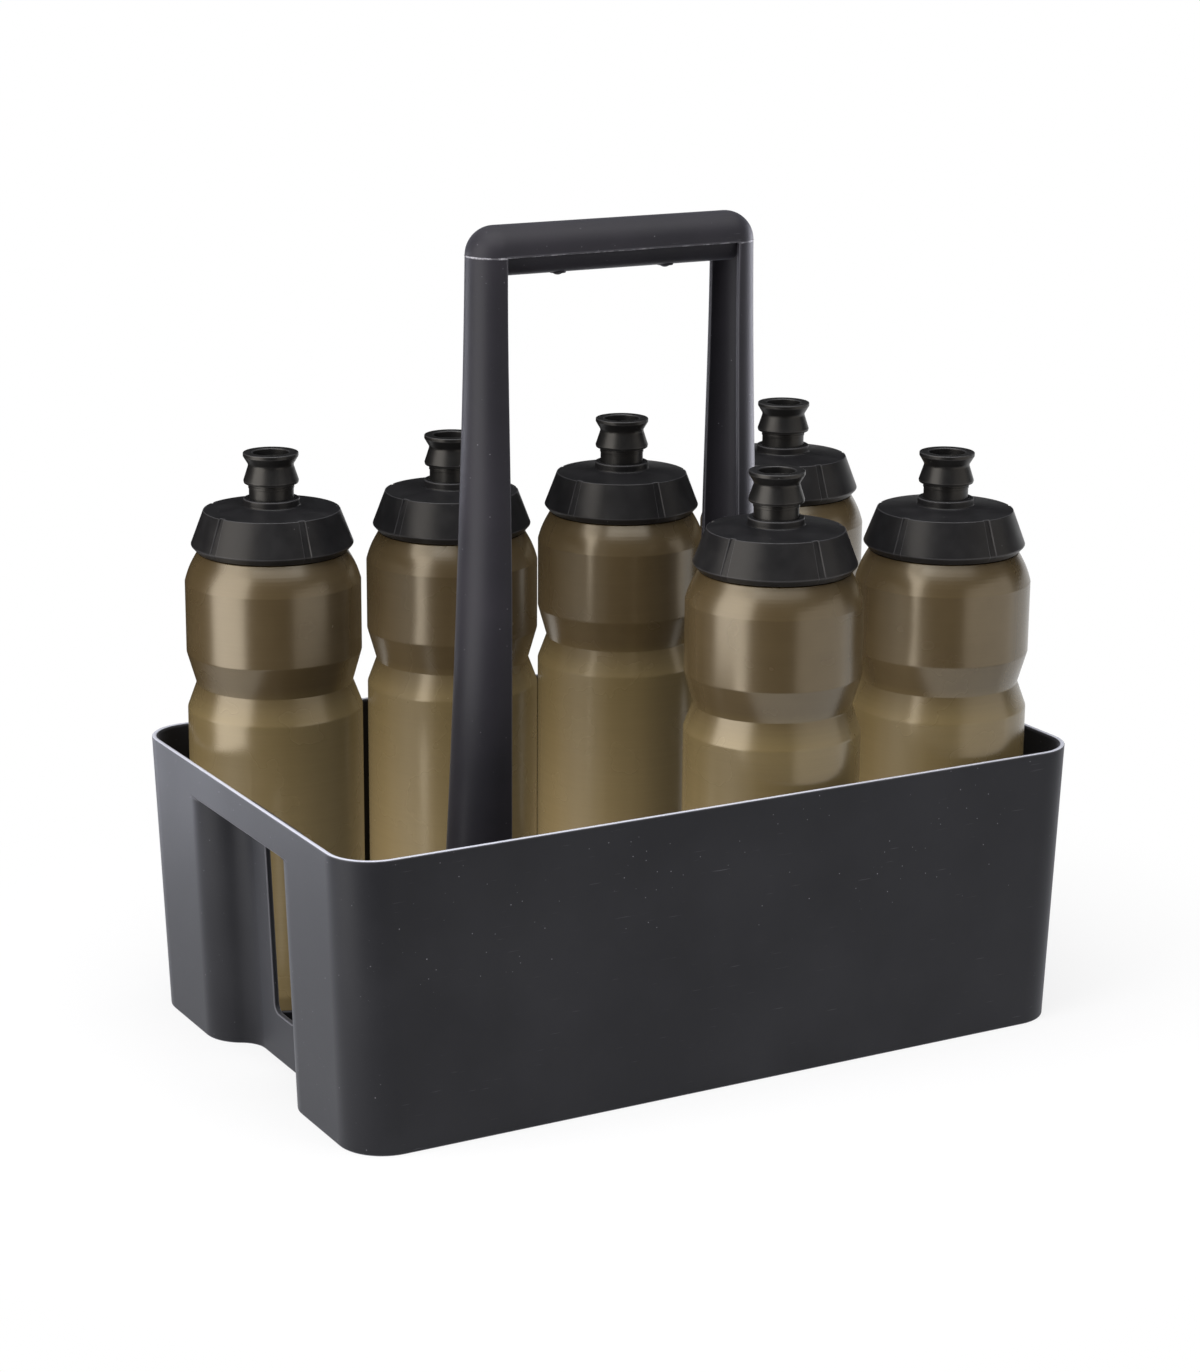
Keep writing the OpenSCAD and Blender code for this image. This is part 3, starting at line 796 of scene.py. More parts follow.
@dataclass
class Tray:
    """The open tray: a drawn-in tub with a hand recess and a window in each end."""

    height: float = 120.5
    base_half_l: float = 165.3
    base_half_w: float = 103.5
    end_draft: float = 4.7
    side_draft: float = 1.5
    corner_r: float = 19.0
    wall: float = 2.5
    skirt_z: float = 5.5
    floor_z: float = 8.0
    recess_depth: float = 15.3
    recess_flat: float = 22.6
    recess_top: float = 105.8
    bend_r: float = 12.0
    lobe_r: float = 17.7
    window_half_w: float = 10.0
    window_low: float = 21.0
    window_high: float = 97.8
    window_r: float = 3.5
    panel_half_w: float = 14.0
    panel_margin: float = 4.0
    panel_steps: tuple[int, int] = (10, 16)
    pitch: float = 83.0
    row_y: float = 63.5
    ring_r: float = 37.3
    ring_t: float = 1.8
    ring_h: float = 5.0
    rib_t: float = 2.0
    rib_lift: float = 0.5
    socket_h: float = 14.0
    socket_play: float = 0.3
    socket_t: float = 2.2
    edge: float = 0.6
    rim_edge: float = 0.5
    rim_inner_edge: float = 1.2
    cove: float = 1.5
    leg_x: float = 53.5
    foot_half_w: float = 15.4
    foot_depth: float = 26.0

    def half_l(self, z: np.ndarray) -> np.ndarray:
        """Half length at a height: the ends lean outwards evenly."""
        return self.base_half_l + self.end_draft * z / self.height

    def half_w(self, z: np.ndarray) -> np.ndarray:
        """Half width at a height: the sides lean outwards evenly."""
        return self.base_half_w + self.side_draft * z / self.height

    def stations(self) -> tuple[np.ndarray, float]:
        """Columns along an end wall, from the middle to the corner.

        Each column is a point of an S-curve of two arcs. With an inset g its place is
        y = yc + sy (r + k g) + t (corner - lobe) and its depth is dc + sd (r + k g), so that the
        outer bend grows and the lobe shrinks as the skin is drawn in by the wall.

        Returns:
            The seven numbers yc, dc, sy, sd, r, k and t of each column, and the lobe's place.
        """
        # The arcs meet where their depths agree: dc + R cos a = r - r cos a.
        outer = self.recess_depth - self.bend_r
        meet = math.acos((self.lobe_r - outer) / (self.lobe_r + self.bend_r))
        lobe_y = self.recess_flat + (self.bend_r + self.lobe_r) * math.sin(meet)
        panel = np.linspace(0, self.panel_half_w, self.panel_steps[0] // 2 + 1)
        flat = np.append(panel, [18.3, self.recess_flat - 0.4])
        bend = np.linspace(0, meet, 11)
        lobe = np.linspace(meet, 0, 13)[1:]
        plain = np.array([0.02, 0.5, 0.97, 1.0])

        def rows(*numbers: object) -> np.ndarray:
            """Stacks one run of columns from the seven numbers yc, dc, sy, sd, r, k and t."""
            return np.stack(np.broadcast_arrays(*numbers), axis=-1).astype(float)

        half = np.concatenate(
            [
                rows(flat, self.recess_depth, 0.0, 1.0, 0.0, 1.0, 0.0),
                rows(self.recess_flat, outer, np.sin(bend), np.cos(bend), self.bend_r, 1.0, 0.0),
                rows(lobe_y, self.lobe_r, -np.sin(lobe), -np.cos(lobe), self.lobe_r, -1.0, 0.0),
                rows(lobe_y, 0.0, 0.0, 1.0, 0.0, 1.0, plain),
            ]
        )
        return half, lobe_y

    def rings(self, z: np.ndarray, inset: np.ndarray, front: np.ndarray, back: np.ndarray) -> np.ndarray:
        """Rings of the wall, seen from above.

        An end's depth is the inset plus the recess, where the recess is its own depth less
        back, but never more than front. A front of nothing closes the recess.

        Args:
            z: Heights, (rows,).
            inset: Distances that the skin is drawn in from the outer face, (rows,).
            front: Limits on the recess, (rows,).
            back: Amounts taken off the recess, (rows,).

        Returns:
            The rings, anticlockwise from the right end's front corner, (rows, columns, 3).
        """
        z, inset, front, back = (np.asarray(v, float)[:, None] for v in (z, inset, front, back))
        length, width = self.half_l(z), self.half_w(z)
        half, lobe_y = self.stations()
        yc, dc, sy, sd, r, k, t = half.T
        reach = r + k * inset
        y = yc + sy * reach + t * (width - self.corner_r - lobe_y)
        depth = inset + np.minimum(front, np.maximum(0, dc + sd * reach - inset - back))
        x = length - depth
        turn = np.linspace(0, math.pi / 2, 14)[1:-1]
        corner = self.corner_r - inset
        corner_x = length - self.corner_r + corner * np.cos(turn)
        corner_y = width - self.corner_r + corner * np.sin(turn)
        along = np.array([1, 0.99, 0.6, 0.2, -0.2, -0.6, -0.99, -1])
        side_x = (length - self.corner_r) * along
        side_y = (width - inset) + 0 * side_x
        quarter_x = np.concatenate([x, corner_x], axis=1)
        quarter_y = np.concatenate([y, corner_y], axis=1)
        ring_x = np.concatenate(
            [quarter_x, side_x, -quarter_x[:, ::-1], -quarter_x[:, 1:], -side_x, quarter_x[:, :0:-1]], axis=1
        )
        ring_y = np.concatenate(
            [quarter_y, side_y, quarter_y[:, ::-1], -quarter_y[:, 1:], -side_y, -quarter_y[:, :0:-1]], axis=1
        )
        return np.stack([ring_x, ring_y, z + 0 * ring_x], axis=-1)

    def wall_rows(self) -> tuple[np.ndarray, tuple[int, int]]:
        """Rows of the wall, once round its thickness from the outer foot over the rim.

        Returns:
            The rows (z, inset, front, back), and the first panel row of the outer skin and of
            the inner one.
        """
        sin, versed = quarter()
        deep = 1000.0
        low, high = self.window_low - self.panel_margin, self.window_high + self.panel_margin
        panel = np.linspace(low, high, self.panel_steps[1] + 1)
        ceiling, shelf = self.recess_top, self.recess_top + self.wall
        fillet, lip = 1.2, 0.7

        def rows(z: object, inset: object, front: object = deep, back: object = 0.0) -> np.ndarray:
            """Stacks one run of rows."""
            numbers = np.broadcast_arrays(np.atleast_1d(z), inset, front, back)
            return np.stack(numbers, axis=-1).astype(float)

        w = self.wall
        runs = [
            rows(self.edge * versed, self.edge * (1 - sin)),
            rows(self.edge + 0.4, 0.0),
            rows(panel, 0.0),
            rows(ceiling - fillet - 0.4, 0.0),
            rows(ceiling - fillet + fillet * sin, 0.0, deep, fillet * versed),
            rows(ceiling + lip * versed, 0.0, lip * (1 - sin)),
            rows([ceiling + lip + 0.4, self.height - self.rim_edge - 0.3], 0.0, 0.0),
            rows(self.height - self.rim_edge * (1 - sin), self.rim_edge * versed, 0.0),
            rows(self.height - self.rim_inner_edge * versed, w - self.rim_inner_edge * (1 - sin), 0.0),
            rows([self.height - self.rim_inner_edge - 0.3, shelf + lip + 0.4], w, 0.0),
            rows(shelf + lip * (1 - sin), w, lip * versed),
            rows(shelf - fillet * versed, w, deep, fillet * (1 - sin)),
            rows(shelf - fillet - 0.4, w),
            rows(panel[::-1], w),
            rows(self.floor_z + self.cove + 0.4, w),
            rows(self.floor_z + self.cove * (1 - sin), w + self.cove * versed),
            rows([self.floor_z - 0.8, self.floor_z - 0.8, self.edge + 0.4], [w + self.cove, w, w]),
            rows(self.edge * (1 - sin), w - self.edge * versed),
        ]
        starts = np.cumsum([0] + [len(run) for run in runs])
        return np.concatenate(runs), (int(starts[2]), int(starts[13]))

    def window_outline(self, grow: float) -> np.ndarray:
        """Outline of the window, grown by a margin, with a point for each of the panel's edge.

        Each side of the panel maps to half an arc, a straight run and half an arc. A point is the
        arc's centre, slid along the straight run, plus the grown radius times its direction.

        Args:
            grow: Distance that the outline stands outside the window.

        Returns:
            Points (y, z), anticlockwise from the lower left corner's middle, (n, 2).
        """
        across, up = self.panel_steps
        middle = (self.window_low + self.window_high) / 2
        cy = self.window_half_w - self.window_r
        cz = (self.window_high - self.window_low) / 2 - self.window_r
        arc = 4
        radius = self.window_r + grow
        sides = [
            (across, -cy, -cz, cy, -cz),
            (up, cy, -cz, cy, cz),
            (across, cy, cz, -cy, cz),
            (up, -cy, cz, -cy, -cz),
        ]
        runs = []
        for turn, (count, y0, z0, y1, z1) in enumerate(sides):
            step = np.arange(count)
            share = np.interp(step, [arc, count - arc], [0, 1])
            bend = np.interp(step, [0, arc, count - arc, count], [-0.75, -0.5, -0.5, -0.25])
            angle = bend * math.pi + turn * math.pi / 2
            y = y0 + (y1 - y0) * share + radius * np.cos(angle)
            z = middle + z0 + (z1 - z0) * share + radius * np.sin(angle)
            runs.append(np.stack([y, z], axis=-1))
        return np.concatenate(runs)

    def window_frame(self, outer: np.ndarray, inner: np.ndarray, end: End) -> np.ndarray:
        """Surface from the outer panel's edge through the window to the inner panel's edge.

        Its rows run over the outer face, round the edge, through the wall and out again: a row
        is the window's outline grown by one leg of a round edge, at the other leg's depth.

        Args:
            outer: Edge of the opening left in the outer skin, (n, 3).
            inner: Edge of the opening left in the inner skin, (n, 3).
            end: The end that the window is in.

        Returns:
            The surface, (rows, n, 3).
        """
        sin, versed = quarter()
        e = self.edge
        grow = np.concatenate([[e + 0.4], e * (1 - sin), [0.0, 0.0], e * versed, [e + 0.4]])
        sunk = np.concatenate(
            [[0.0], e * versed, [e + 0.3, self.wall - e - 0.3], self.wall - e * (1 - sin), [self.wall]]
        )
        outlines = np.stack([self.window_outline(g) for g in grow])
        z = outlines[..., 1]
        x = self.half_l(z) - self.recess_depth - sunk[:, None]
        rows = np.stack([end.value * x, end.value * outlines[..., 0], z], axis=-1)
        return np.concatenate([outer[None], rows, inner[None]])

    def add_wall(self, skin: Skin) -> None:
        """Adds the wall with its recesses, rim and windows.

        Args:
            skin: The tray's skin.
        """
        rows, starts = self.wall_rows()
        surface = self.rings(*rows.T)
        columns = surface.shape[1]
        across, up = self.panel_steps
        half = across // 2
        quarter_count = (columns - 2 * 8 + 2) // 4
        left_middle = 2 * quarter_count + 8 - 1
        keep = np.ones(surface.shape[:2], bool)
        frames = []
        for end, middle in ((End.RIGHT, 0), (End.LEFT, left_middle)):
            edges = []
            for start, rising in zip(starts, (True, False)):
                low, high = (start, start + up) if rising else (start + up, start)
                column = (middle + np.arange(-half, half + 1)) % columns
                row = np.linspace(low, high, up + 1).astype(int)
                edges.append(
                    np.concatenate(
                        [
                            surface[low, column[:-1]],
                            surface[row[:-1], column[-1]],
                            surface[high, column[:0:-1]],
                            surface[row[:0:-1], column[0]],
                        ]
                    )
                )
                keep[min(low, high) : max(low, high), column[:-1]] = False
            frames.append(self.window_frame(edges[0], edges[1], end))
        skin.grid(surface, keep=keep)
        for frame in frames:
            skin.grid(frame, (False, True))

    def add_floor(self, skin: Skin) -> None:
        """Adds the floor plate, which reaches half way into the wall, and the ribs under it.

        Args:
            skin: The tray's skin.
        """
        z = [self.skirt_z, self.floor_z]
        skin.block(self.rings(z, [self.wall / 2] * 2, [1000.0] * 2, [0.0] * 2))
        end_x = self.base_half_l - self.recess_depth + 2.0
        for x in (-self.pitch, 0.0, self.pitch):
            self.add_rib(skin, (x, 0.0), (self.rib_t / 2, self.base_half_w - self.wall / 2))
        for y in (-self.row_y / 2, self.row_y / 2):
            self.add_rib(skin, (0.0, y), (end_x, self.rib_t / 2))

    def add_rib(self, skin: Skin, middle: tuple[float, float], half: tuple[float, float]) -> None:
        """Adds one rib under the floor.

        Args:
            skin: The tray's skin.
            middle: Its middle (x, y).
            half: Its half sizes (x, y).
        """
        corners = np.array(middle) + np.array([[-1, -1], [1, -1], [1, 1], [-1, 1]]) * np.array(half)
        skin.block(prism(fillet_path(corners, 0.3, 2), self.rib_lift, self.skirt_z + 1, 0.4))

    def add_rings(self, skin: Skin) -> None:
        """Adds the low rings that keep each bottle in its place.

        Args:
            skin: The tray's skin.
        """
        inner, outer = self.ring_r, self.ring_r + self.ring_t
        low, high = self.floor_z - 1, self.floor_z + self.ring_h
        outline = fillet_path([[inner, low], [outer, low], [outer, high], [inner, high]], [0, 0, 0.7, 0.7])
        for column in (-1.5, -0.5, 0.5, 1.5):
            for row in (-1, 1):
                centre = np.array([column * self.pitch, row * self.row_y, 0.0])
                skin.grid(lathe(outline, centre, 96))

    def foot_outline(self, grow: float, side: int, depth: float, half_w: float) -> np.ndarray:
        """Plan of a foot: a flat face towards the middle and a half-round nose outwards.

        The nose is a half circle as wide as the foot. Its radius is the half width plus the
        margin, and its centre stays put as the margin grows.

        Args:
            grow: Margin around the foot.
            side: Sign of X.
            depth: The foot's depth from the flat face to the nose.
            half_w: Half of its width.

        Returns:
            Points (x, y), (n, 2).
        """
        angle = np.linspace(-math.pi / 2, math.pi / 2, 33)
        radius = half_w + grow
        nose = np.stack([depth - half_w + radius * np.cos(angle), radius * np.sin(angle)], axis=-1)
        flat = np.array([[-grow, radius], [-grow, radius * 0.4], [-grow, -radius * 0.4], [-grow, -radius]])
        return (np.concatenate([nose, flat]) + [self.leg_x, 0]) * [side, 1]

    def add_sockets(self, skin: Skin) -> None:
        """Adds the sockets that hold the handle's feet: the foot's plan grown twice.

        Args:
            skin: The tray's skin.
        """
        sin, versed = quarter(3)
        edge = 0.5
        low, high = self.floor_z - 1, self.floor_z + self.socket_h
        inner, outer = self.socket_play, self.socket_play + self.socket_t
        grow = np.concatenate([[outer], outer - edge * versed, inner + edge * (1 - sin), [inner]])
        height = np.concatenate([[low], high - edge * (1 - sin), high - edge * versed, [low]])
        for side in (-1, 1):
            plans = np.stack([self.foot_outline(g, side, self.foot_depth, self.foot_half_w) for g in grow])
            z = np.broadcast_to(height[:, None, None], (*plans.shape[:2], 1))
            skin.grid(np.concatenate([plans, z], axis=-1))

    def build(self, material: bpy.types.Material) -> bpy.types.Object:
        """Builds the whole tray as one piece.

        Args:
            material: Its material.

        Returns:
            The object.
        """
        skin = Skin()
        self.add_wall(skin)
        self.add_floor(skin)
        self.add_rings(skin)
        self.add_sockets(skin)
        return skin.build("moulded_tray", material)


@dataclass
class BowHandle:
    """The tall bow: an open channel that runs up one leg, over the beam and down the other."""

    parting_z: float = 328.0
    floor_z: float = 8.0
    leg_x: float = 53.5
    grip_r: float = 12.0
    wall: float = 2.2
    foot_half_w: float = 15.4
    foot_depth: float = 26.0
    widen_shares: tuple[float, float] = (0.025, 0.4625)
    flare_share: float = 0.37
    plate_t: float = 4.0
    boss_r: float = 4.5
    boss_h: float = 16.0
    screw_in: float = 10.5
    screw_pitch: float = 14.0
    lip: float = 0.5
    flash: float = 0.14

    def section(self) -> tuple[np.ndarray, np.ndarray]:
        """Cross-section of the channel, for any half width w and depth d.

        A point is a = A0 + A1 (d - w) + A2 w outwards from the open face and b = B0 + B2 w across
        it. The outer skin is a half circle of radius w between flat flanks, and the inner skin
        is the same drawn in by the wall. The two rims have rounded edges.

        Returns:
            The columns A0, A1, A2, B0 and B2 of each point, (n, 5), and a mask of the outer skin.
        """
        sin, versed = quarter(3)
        nose = np.radians(np.linspace(-86, 86, 31))

        def rows(*numbers: object) -> np.ndarray:
            """Stacks one run of points from the five numbers A0, A1, A2, B0 and B2."""
            return np.stack(np.broadcast_arrays(*numbers), axis=-1).astype(float)

        lip, wall = self.lip, self.wall
        outer = np.concatenate(
            [
                rows(lip * versed, 0.0, 0.0, lip * (1 - sin), -1.0),
                rows([lip + 0.25], 0.0, 0.0, 0.0, -1.0),
                rows(0.0, 1.0, np.cos(nose), 0.0, np.sin(nose)),
                rows([lip + 0.25], 0.0, 0.0, 0.0, 1.0),
                rows(lip * versed[::-1], 0.0, 0.0, -lip * (1 - sin[::-1]), 1.0),
            ]
        )
        back = nose[::-1]
        inner = np.concatenate(
            [
                rows(lip * versed, 0.0, 0.0, -wall + lip * (1 - sin), 1.0),
                rows([lip + 0.25], 0.0, 0.0, -wall, 1.0),
                rows(-wall * np.cos(back), 1.0, np.cos(back), -wall * np.sin(back), np.sin(back)),
                rows([lip + 0.25], 0.0, 0.0, wall, -1.0),
                rows(lip * versed[::-1], 0.0, 0.0, wall - lip * (1 - sin[::-1]), -1.0),
            ]
        )
        mask = np.arange(len(outer) + len(inner)) < len(outer)
        return np.concatenate([outer, inner]), mask

    def stations(self) -> np.ndarray:
        """Places along the right half of the bow, from the foot to the beam's middle.

        Down a leg the section lies level, and its half width eases from the grip's to the foot's
        while its depth grows by a share of the length and its square. At the top the section
        swings by a quarter turn about the parting line's end, which makes the round shoulder.

        Returns:
            The columns ox, oz, ux, uz, w, d and flash of each station, (n, 7).
        """
        length = self.parting_z - self.floor_z
        share = np.concatenate([np.linspace(1, 0.004, 44), [0.0015, 0.0009, 0.0]])
        low, high = self.widen_shares
        s = np.clip((share - low) / (high - low), 0, 1)
        width = self.grip_r + (self.foot_half_w - self.grip_r) * s * s * (3 - 2 * s)
        grown = self.flare_share * share + (1 - self.flare_share) * share**2
        depth = self.grip_r + (self.foot_depth - self.grip_r) * grown
        flash = np.where(share == 0, self.flash, 0.0)
        swing = np.concatenate([[0.025], np.linspace(0.08, math.pi / 2, 14)])
        along = self.leg_x * np.array([0.97, 0.5, 0.0])
        top, grip = self.parting_z, self.grip_r
        leg = (self.leg_x, top - length * share, 1.0, 0.0, width, depth, flash)
        shoulder = (self.leg_x, top, np.cos(swing), np.sin(swing), grip, grip, 0.0)
        beam = (along, top, 0.0, 1.0, grip, grip, 0.0)
        parts = [np.stack(np.broadcast_arrays(*part), axis=-1) for part in (leg, shoulder, beam)]
        return np.concatenate(parts)

    def channel(self) -> np.ndarray:
        """Surface of the whole channel, from foot to foot.

        Returns:
            The surface, (rows, columns, 3).
        """
        half = self.stations()
        mirrored = half[-2::-1] * [-1, 1, -1, 1, 1, 1, 1]
        ox, oz, ux, uz, w, d, flash = (v[:, None] for v in np.concatenate([half, mirrored]).T)
        table, outer = self.section()
        a0, a1, a2, b0, b2 = table.T
        skin_w = w + flash * outer
        a = a0 + a1 * (d - w) + a2 * skin_w
        b = b0 + b2 * skin_w
        return np.stack([ox + a * ux, b + 0 * a, oz + a * uz], axis=-1)

    def build(self, material: bpy.types.Material, tray: Tray) -> bpy.types.Object:
        """Builds the bow with its foot plates and screw bosses.

        Args:
            material: Its material.
            tray: The tray, which knows the plan of a foot.

        Returns:
            The object.
        """
        skin = Skin()
        skin.block(self.channel())
        low, high = self.floor_z, self.floor_z + self.boss_h
        hole_r, hole_low = 2.0, high - 4
        corners = [[0, low], [self.boss_r, low], [self.boss_r, high], [hole_r, high],
                   [hole_r, hole_low], [0, hole_low]]
        boss = fillet_path(corners, [0, 0, 0.5, 0.2, 0.2, 0])
        inset = self.wall / 2
        for side in (-1, 1):
            plan = tray.foot_outline(0.0, side, self.foot_depth - inset, self.foot_half_w - inset)
            skin.block(prism(plan, self.floor_z, self.floor_z + self.plate_t, 0.4))
            for row in (-1, 1):
                centre = np.array([side * (self.leg_x + self.screw_in), row * self.screw_pitch / 2, 0.0])
                skin.grid(lathe(boss, centre, 40))
        return skin.build("moulded_bow_handle", material)


@dataclass
class GripInsert:
    """The trough pressed into the beam, which gives the hand a round underside."""

    axis_z: float = 329.2
    radius: float = 9.6
    wall: float = 2.0
    edge_z: float = 329.0
    half_length: float = 56.5
    pad_r: float = 3.5
    pad_proud: float = 0.3
    rivet_x: float = 25.0
    end_edge: float = 1.2

    def trough(self) -> np.ndarray:
        """Surface of the trough: half rings of two radii about a level axis, closed at both ends.

        A ring's point is the radius times (cos a, sin a) below the rim's angle. Towards an end
        the outer radius shrinks along a round edge and then to nothing, and the inner radius
        does the same one wall further in.

        Returns:
            The surface, (rows, columns, 3).
        """
        sin, versed = quarter(5)
        e = self.end_edge
        shrink = np.concatenate([[self.radius], e * (1 - sin), [0.0]])
        back = np.concatenate([[0.0], e * versed, [e + 0.3]])
        x = np.concatenate([self.half_length - back, back[::-1] - self.half_length])
        outer = self.radius - np.concatenate([shrink, shrink[::-1]])
        inner = np.maximum(outer - self.wall, 0)
        inner_x = np.sign(x) * (np.abs(x) - self.wall)
        tilt = math.asin((self.edge_z - self.axis_z) / self.radius)
        angle = np.linspace(math.pi - tilt, 2 * math.pi + tilt, 41)
        ring = np.stack([np.cos(angle), np.sin(angle)], axis=-1)
        outside = np.concatenate(
            [x[:, None, None] + 0 * ring[None, :, :1], outer[:, None, None] * ring], axis=-1
        )
        inside = np.concatenate(
            [inner_x[:, None, None] + 0 * ring[None, :, :1], inner[:, None, None] * ring], axis=-1
        )[:, ::-1]
        return np.concatenate([outside, inside], axis=1) + [0, 0, self.axis_z]

    def build(self, material: bpy.types.Material) -> bpy.types.Object:
        """Builds the trough and the two pads that carry the rivets.

        Args:
            material: Its material.

        Returns:
            The object.
        """
        skin = Skin()
        skin.grid(self.trough(), (False, True))
        low = self.axis_z - self.radius - self.pad_proud
        pad = fillet_path(
            [[0, low], [self.pad_r, low], [self.pad_r, low + 3.5], [0, low + 3.5]], [0, 0.35, 0.3, 0]
        )
        for side in (-1, 1):
            skin.grid(lathe(pad, np.array([side * self.rivet_x, 0.0, 0.0]), 48))
        return skin.build("moulded_grip_insert", material)


@dataclass
class Thread:
    """A two-start right-handed screw thread on a neck or in a cap.

    At an angle a the ridge stands at a height of lead times a over a full turn, repeated at each
    start. Its profile is a smooth hump, and it dies out towards both ends.
    """

    low: float
    high: float
    depth: float
    shift: float = 0.0
    lead: float = 10.0
    starts: int = 2
    ridge: float = 1.9

    def heights(self) -> np.ndarray:
        """Heights of the rows that are fine enough to carry the ridges."""
        return np.arange(self.low, self.high, 0.38)

    def ridge_at(self, angle: np.ndarray, z: np.ndarray) -> np.ndarray:
        """Height of the ridge above its wall.

        Args:
            angle: Angles about the axis.
            z: Heights above the axis' foot, of the same shape.

        Returns:
            The ridge's height at each point.
        """
        gap = self.lead / self.starts
        off = (z - self.shift - self.lead * angle / (2 * math.pi)) % gap - gap / 2
        hump = np.clip(1.4 * (1 - np.abs(off) / (self.ridge / 2)), 0, 1)
        ends = np.clip((z - self.low) / 1.2, 0, 1) * np.clip((self.high - z) / 1.2, 0, 1)
        return self.depth * hump * hump * (3 - 2 * hump) * ends


@dataclass
class Bottle:
    """A squeeze bottle: a hollow blown body with a waist, a shoulder and a threaded neck."""

    radius: float = 36.5
    waist_r: float = 32.6
    neck_r: float = 25.6
    neck_bore: float = 23.9
    wall: float = 1.3
    heel: float = 10.0
    lower_top: float = 128.0
    waist_z: float = 138.5
    upper_low: float = 152.1
    upper_top: float = 181.8
    shoulder_r: float = 31.0
    shoulder_z: float = 194.2
    neck_top: float = 208.1
    bulge_share: float = 0.07

    def shoulder(self, inset: float) -> np.ndarray:
        """The shoulder's curve: a slanted line that bulges by a sine.

        Args:
            inset: Distance that the curve is drawn in from the outer skin.

        Returns:
            Points (r, z), (7, 2).
        """
        t = np.linspace(0, 1, 9)[1:-1]
        wide, tall = self.radius - self.shoulder_r, self.shoulder_z - self.upper_top
        swell = self.bulge_share * np.sin(math.pi * t)
        r = self.radius - wide * t + wide * swell - inset
        z = self.upper_top + tall * t + tall * swell * (1 - t) - inset / 2
        return np.stack([r, z], axis=-1)

    def outline(self) -> tuple[np.ndarray, Thread]:
        """Outline of the wall, from the push-up over the outside and back down the inside.

        Returns:
            Points (r, z) and the neck's thread.
        """
        w = self.wall
        outer = [[0, 3], [25, 3], [28, 0], [31, 0], [self.radius, self.heel], [self.radius, self.lower_top],
                 [self.waist_r, self.waist_z], [self.radius, self.upper_low], [self.radius, self.upper_top]]
        outer_r = [0, 0.8, 1.0, 1.4, 4, 3, 0.7, 3, 1]
        neck = [[self.shoulder_r, self.shoulder_z], [self.neck_r, self.shoulder_z],
                [self.neck_r, self.neck_top], [self.neck_bore, self.neck_top],
                [self.neck_bore, self.shoulder_z - w]]
        neck_r = [0.5, 0.5, 0.35, 0.35, 0.6]
        inner = [[self.radius - w, self.upper_top], [self.radius - w, self.upper_low],
                 [self.waist_r - w, self.waist_z], [self.radius - w, self.lower_top],
                 [self.radius - w, self.heel], [30.4, w], [28, w], [25, 3 + w], [0, 3 + w]]
        inner_r = [1, 3, 0.7, 3, 3, 1, 0.6, 0.6, 0]
        bend = self.shoulder(0.0)
        inner_bend = self.shoulder(w)[::-1]
        corners = np.concatenate([outer, bend, neck, inner_bend, inner])
        radii = np.concatenate([outer_r, [2.0] * len(bend), neck_r, [2.0] * len(bend), inner_r])
        steps = 5
        path = fillet_path(corners, radii, steps)
        thread = Thread(self.shoulder_z + 1.6, self.neck_top - 1.0, 0.7)
        cut = (len(outer) + len(bend) + 2) * (steps + 3)
        rows = np.stack(np.broadcast_arrays(self.neck_r, thread.heights()), axis=-1)
        return np.concatenate([path[:cut], rows, path[cut:]]), thread

    def build(self, name: str, centre: np.ndarray, material: bpy.types.Material) -> bpy.types.Object:
        """Builds one bottle.

        Args:
            name: The object's name.
            centre: Middle of its foot, (3,).
            material: Its material.

        Returns:
            The object.
        """
        outline, thread = self.outline()

        def sink(a: np.ndarray, r: np.ndarray, z: np.ndarray) -> np.ndarray:
            """Raises the thread on the outside of the neck only."""
            return -thread.ridge_at(a, z) * (np.abs(r - self.neck_r) < 0.01)

        skin = Skin()
        skin.grid(lathe(outline, centre, 120, sink))
        return skin.build(name, material)


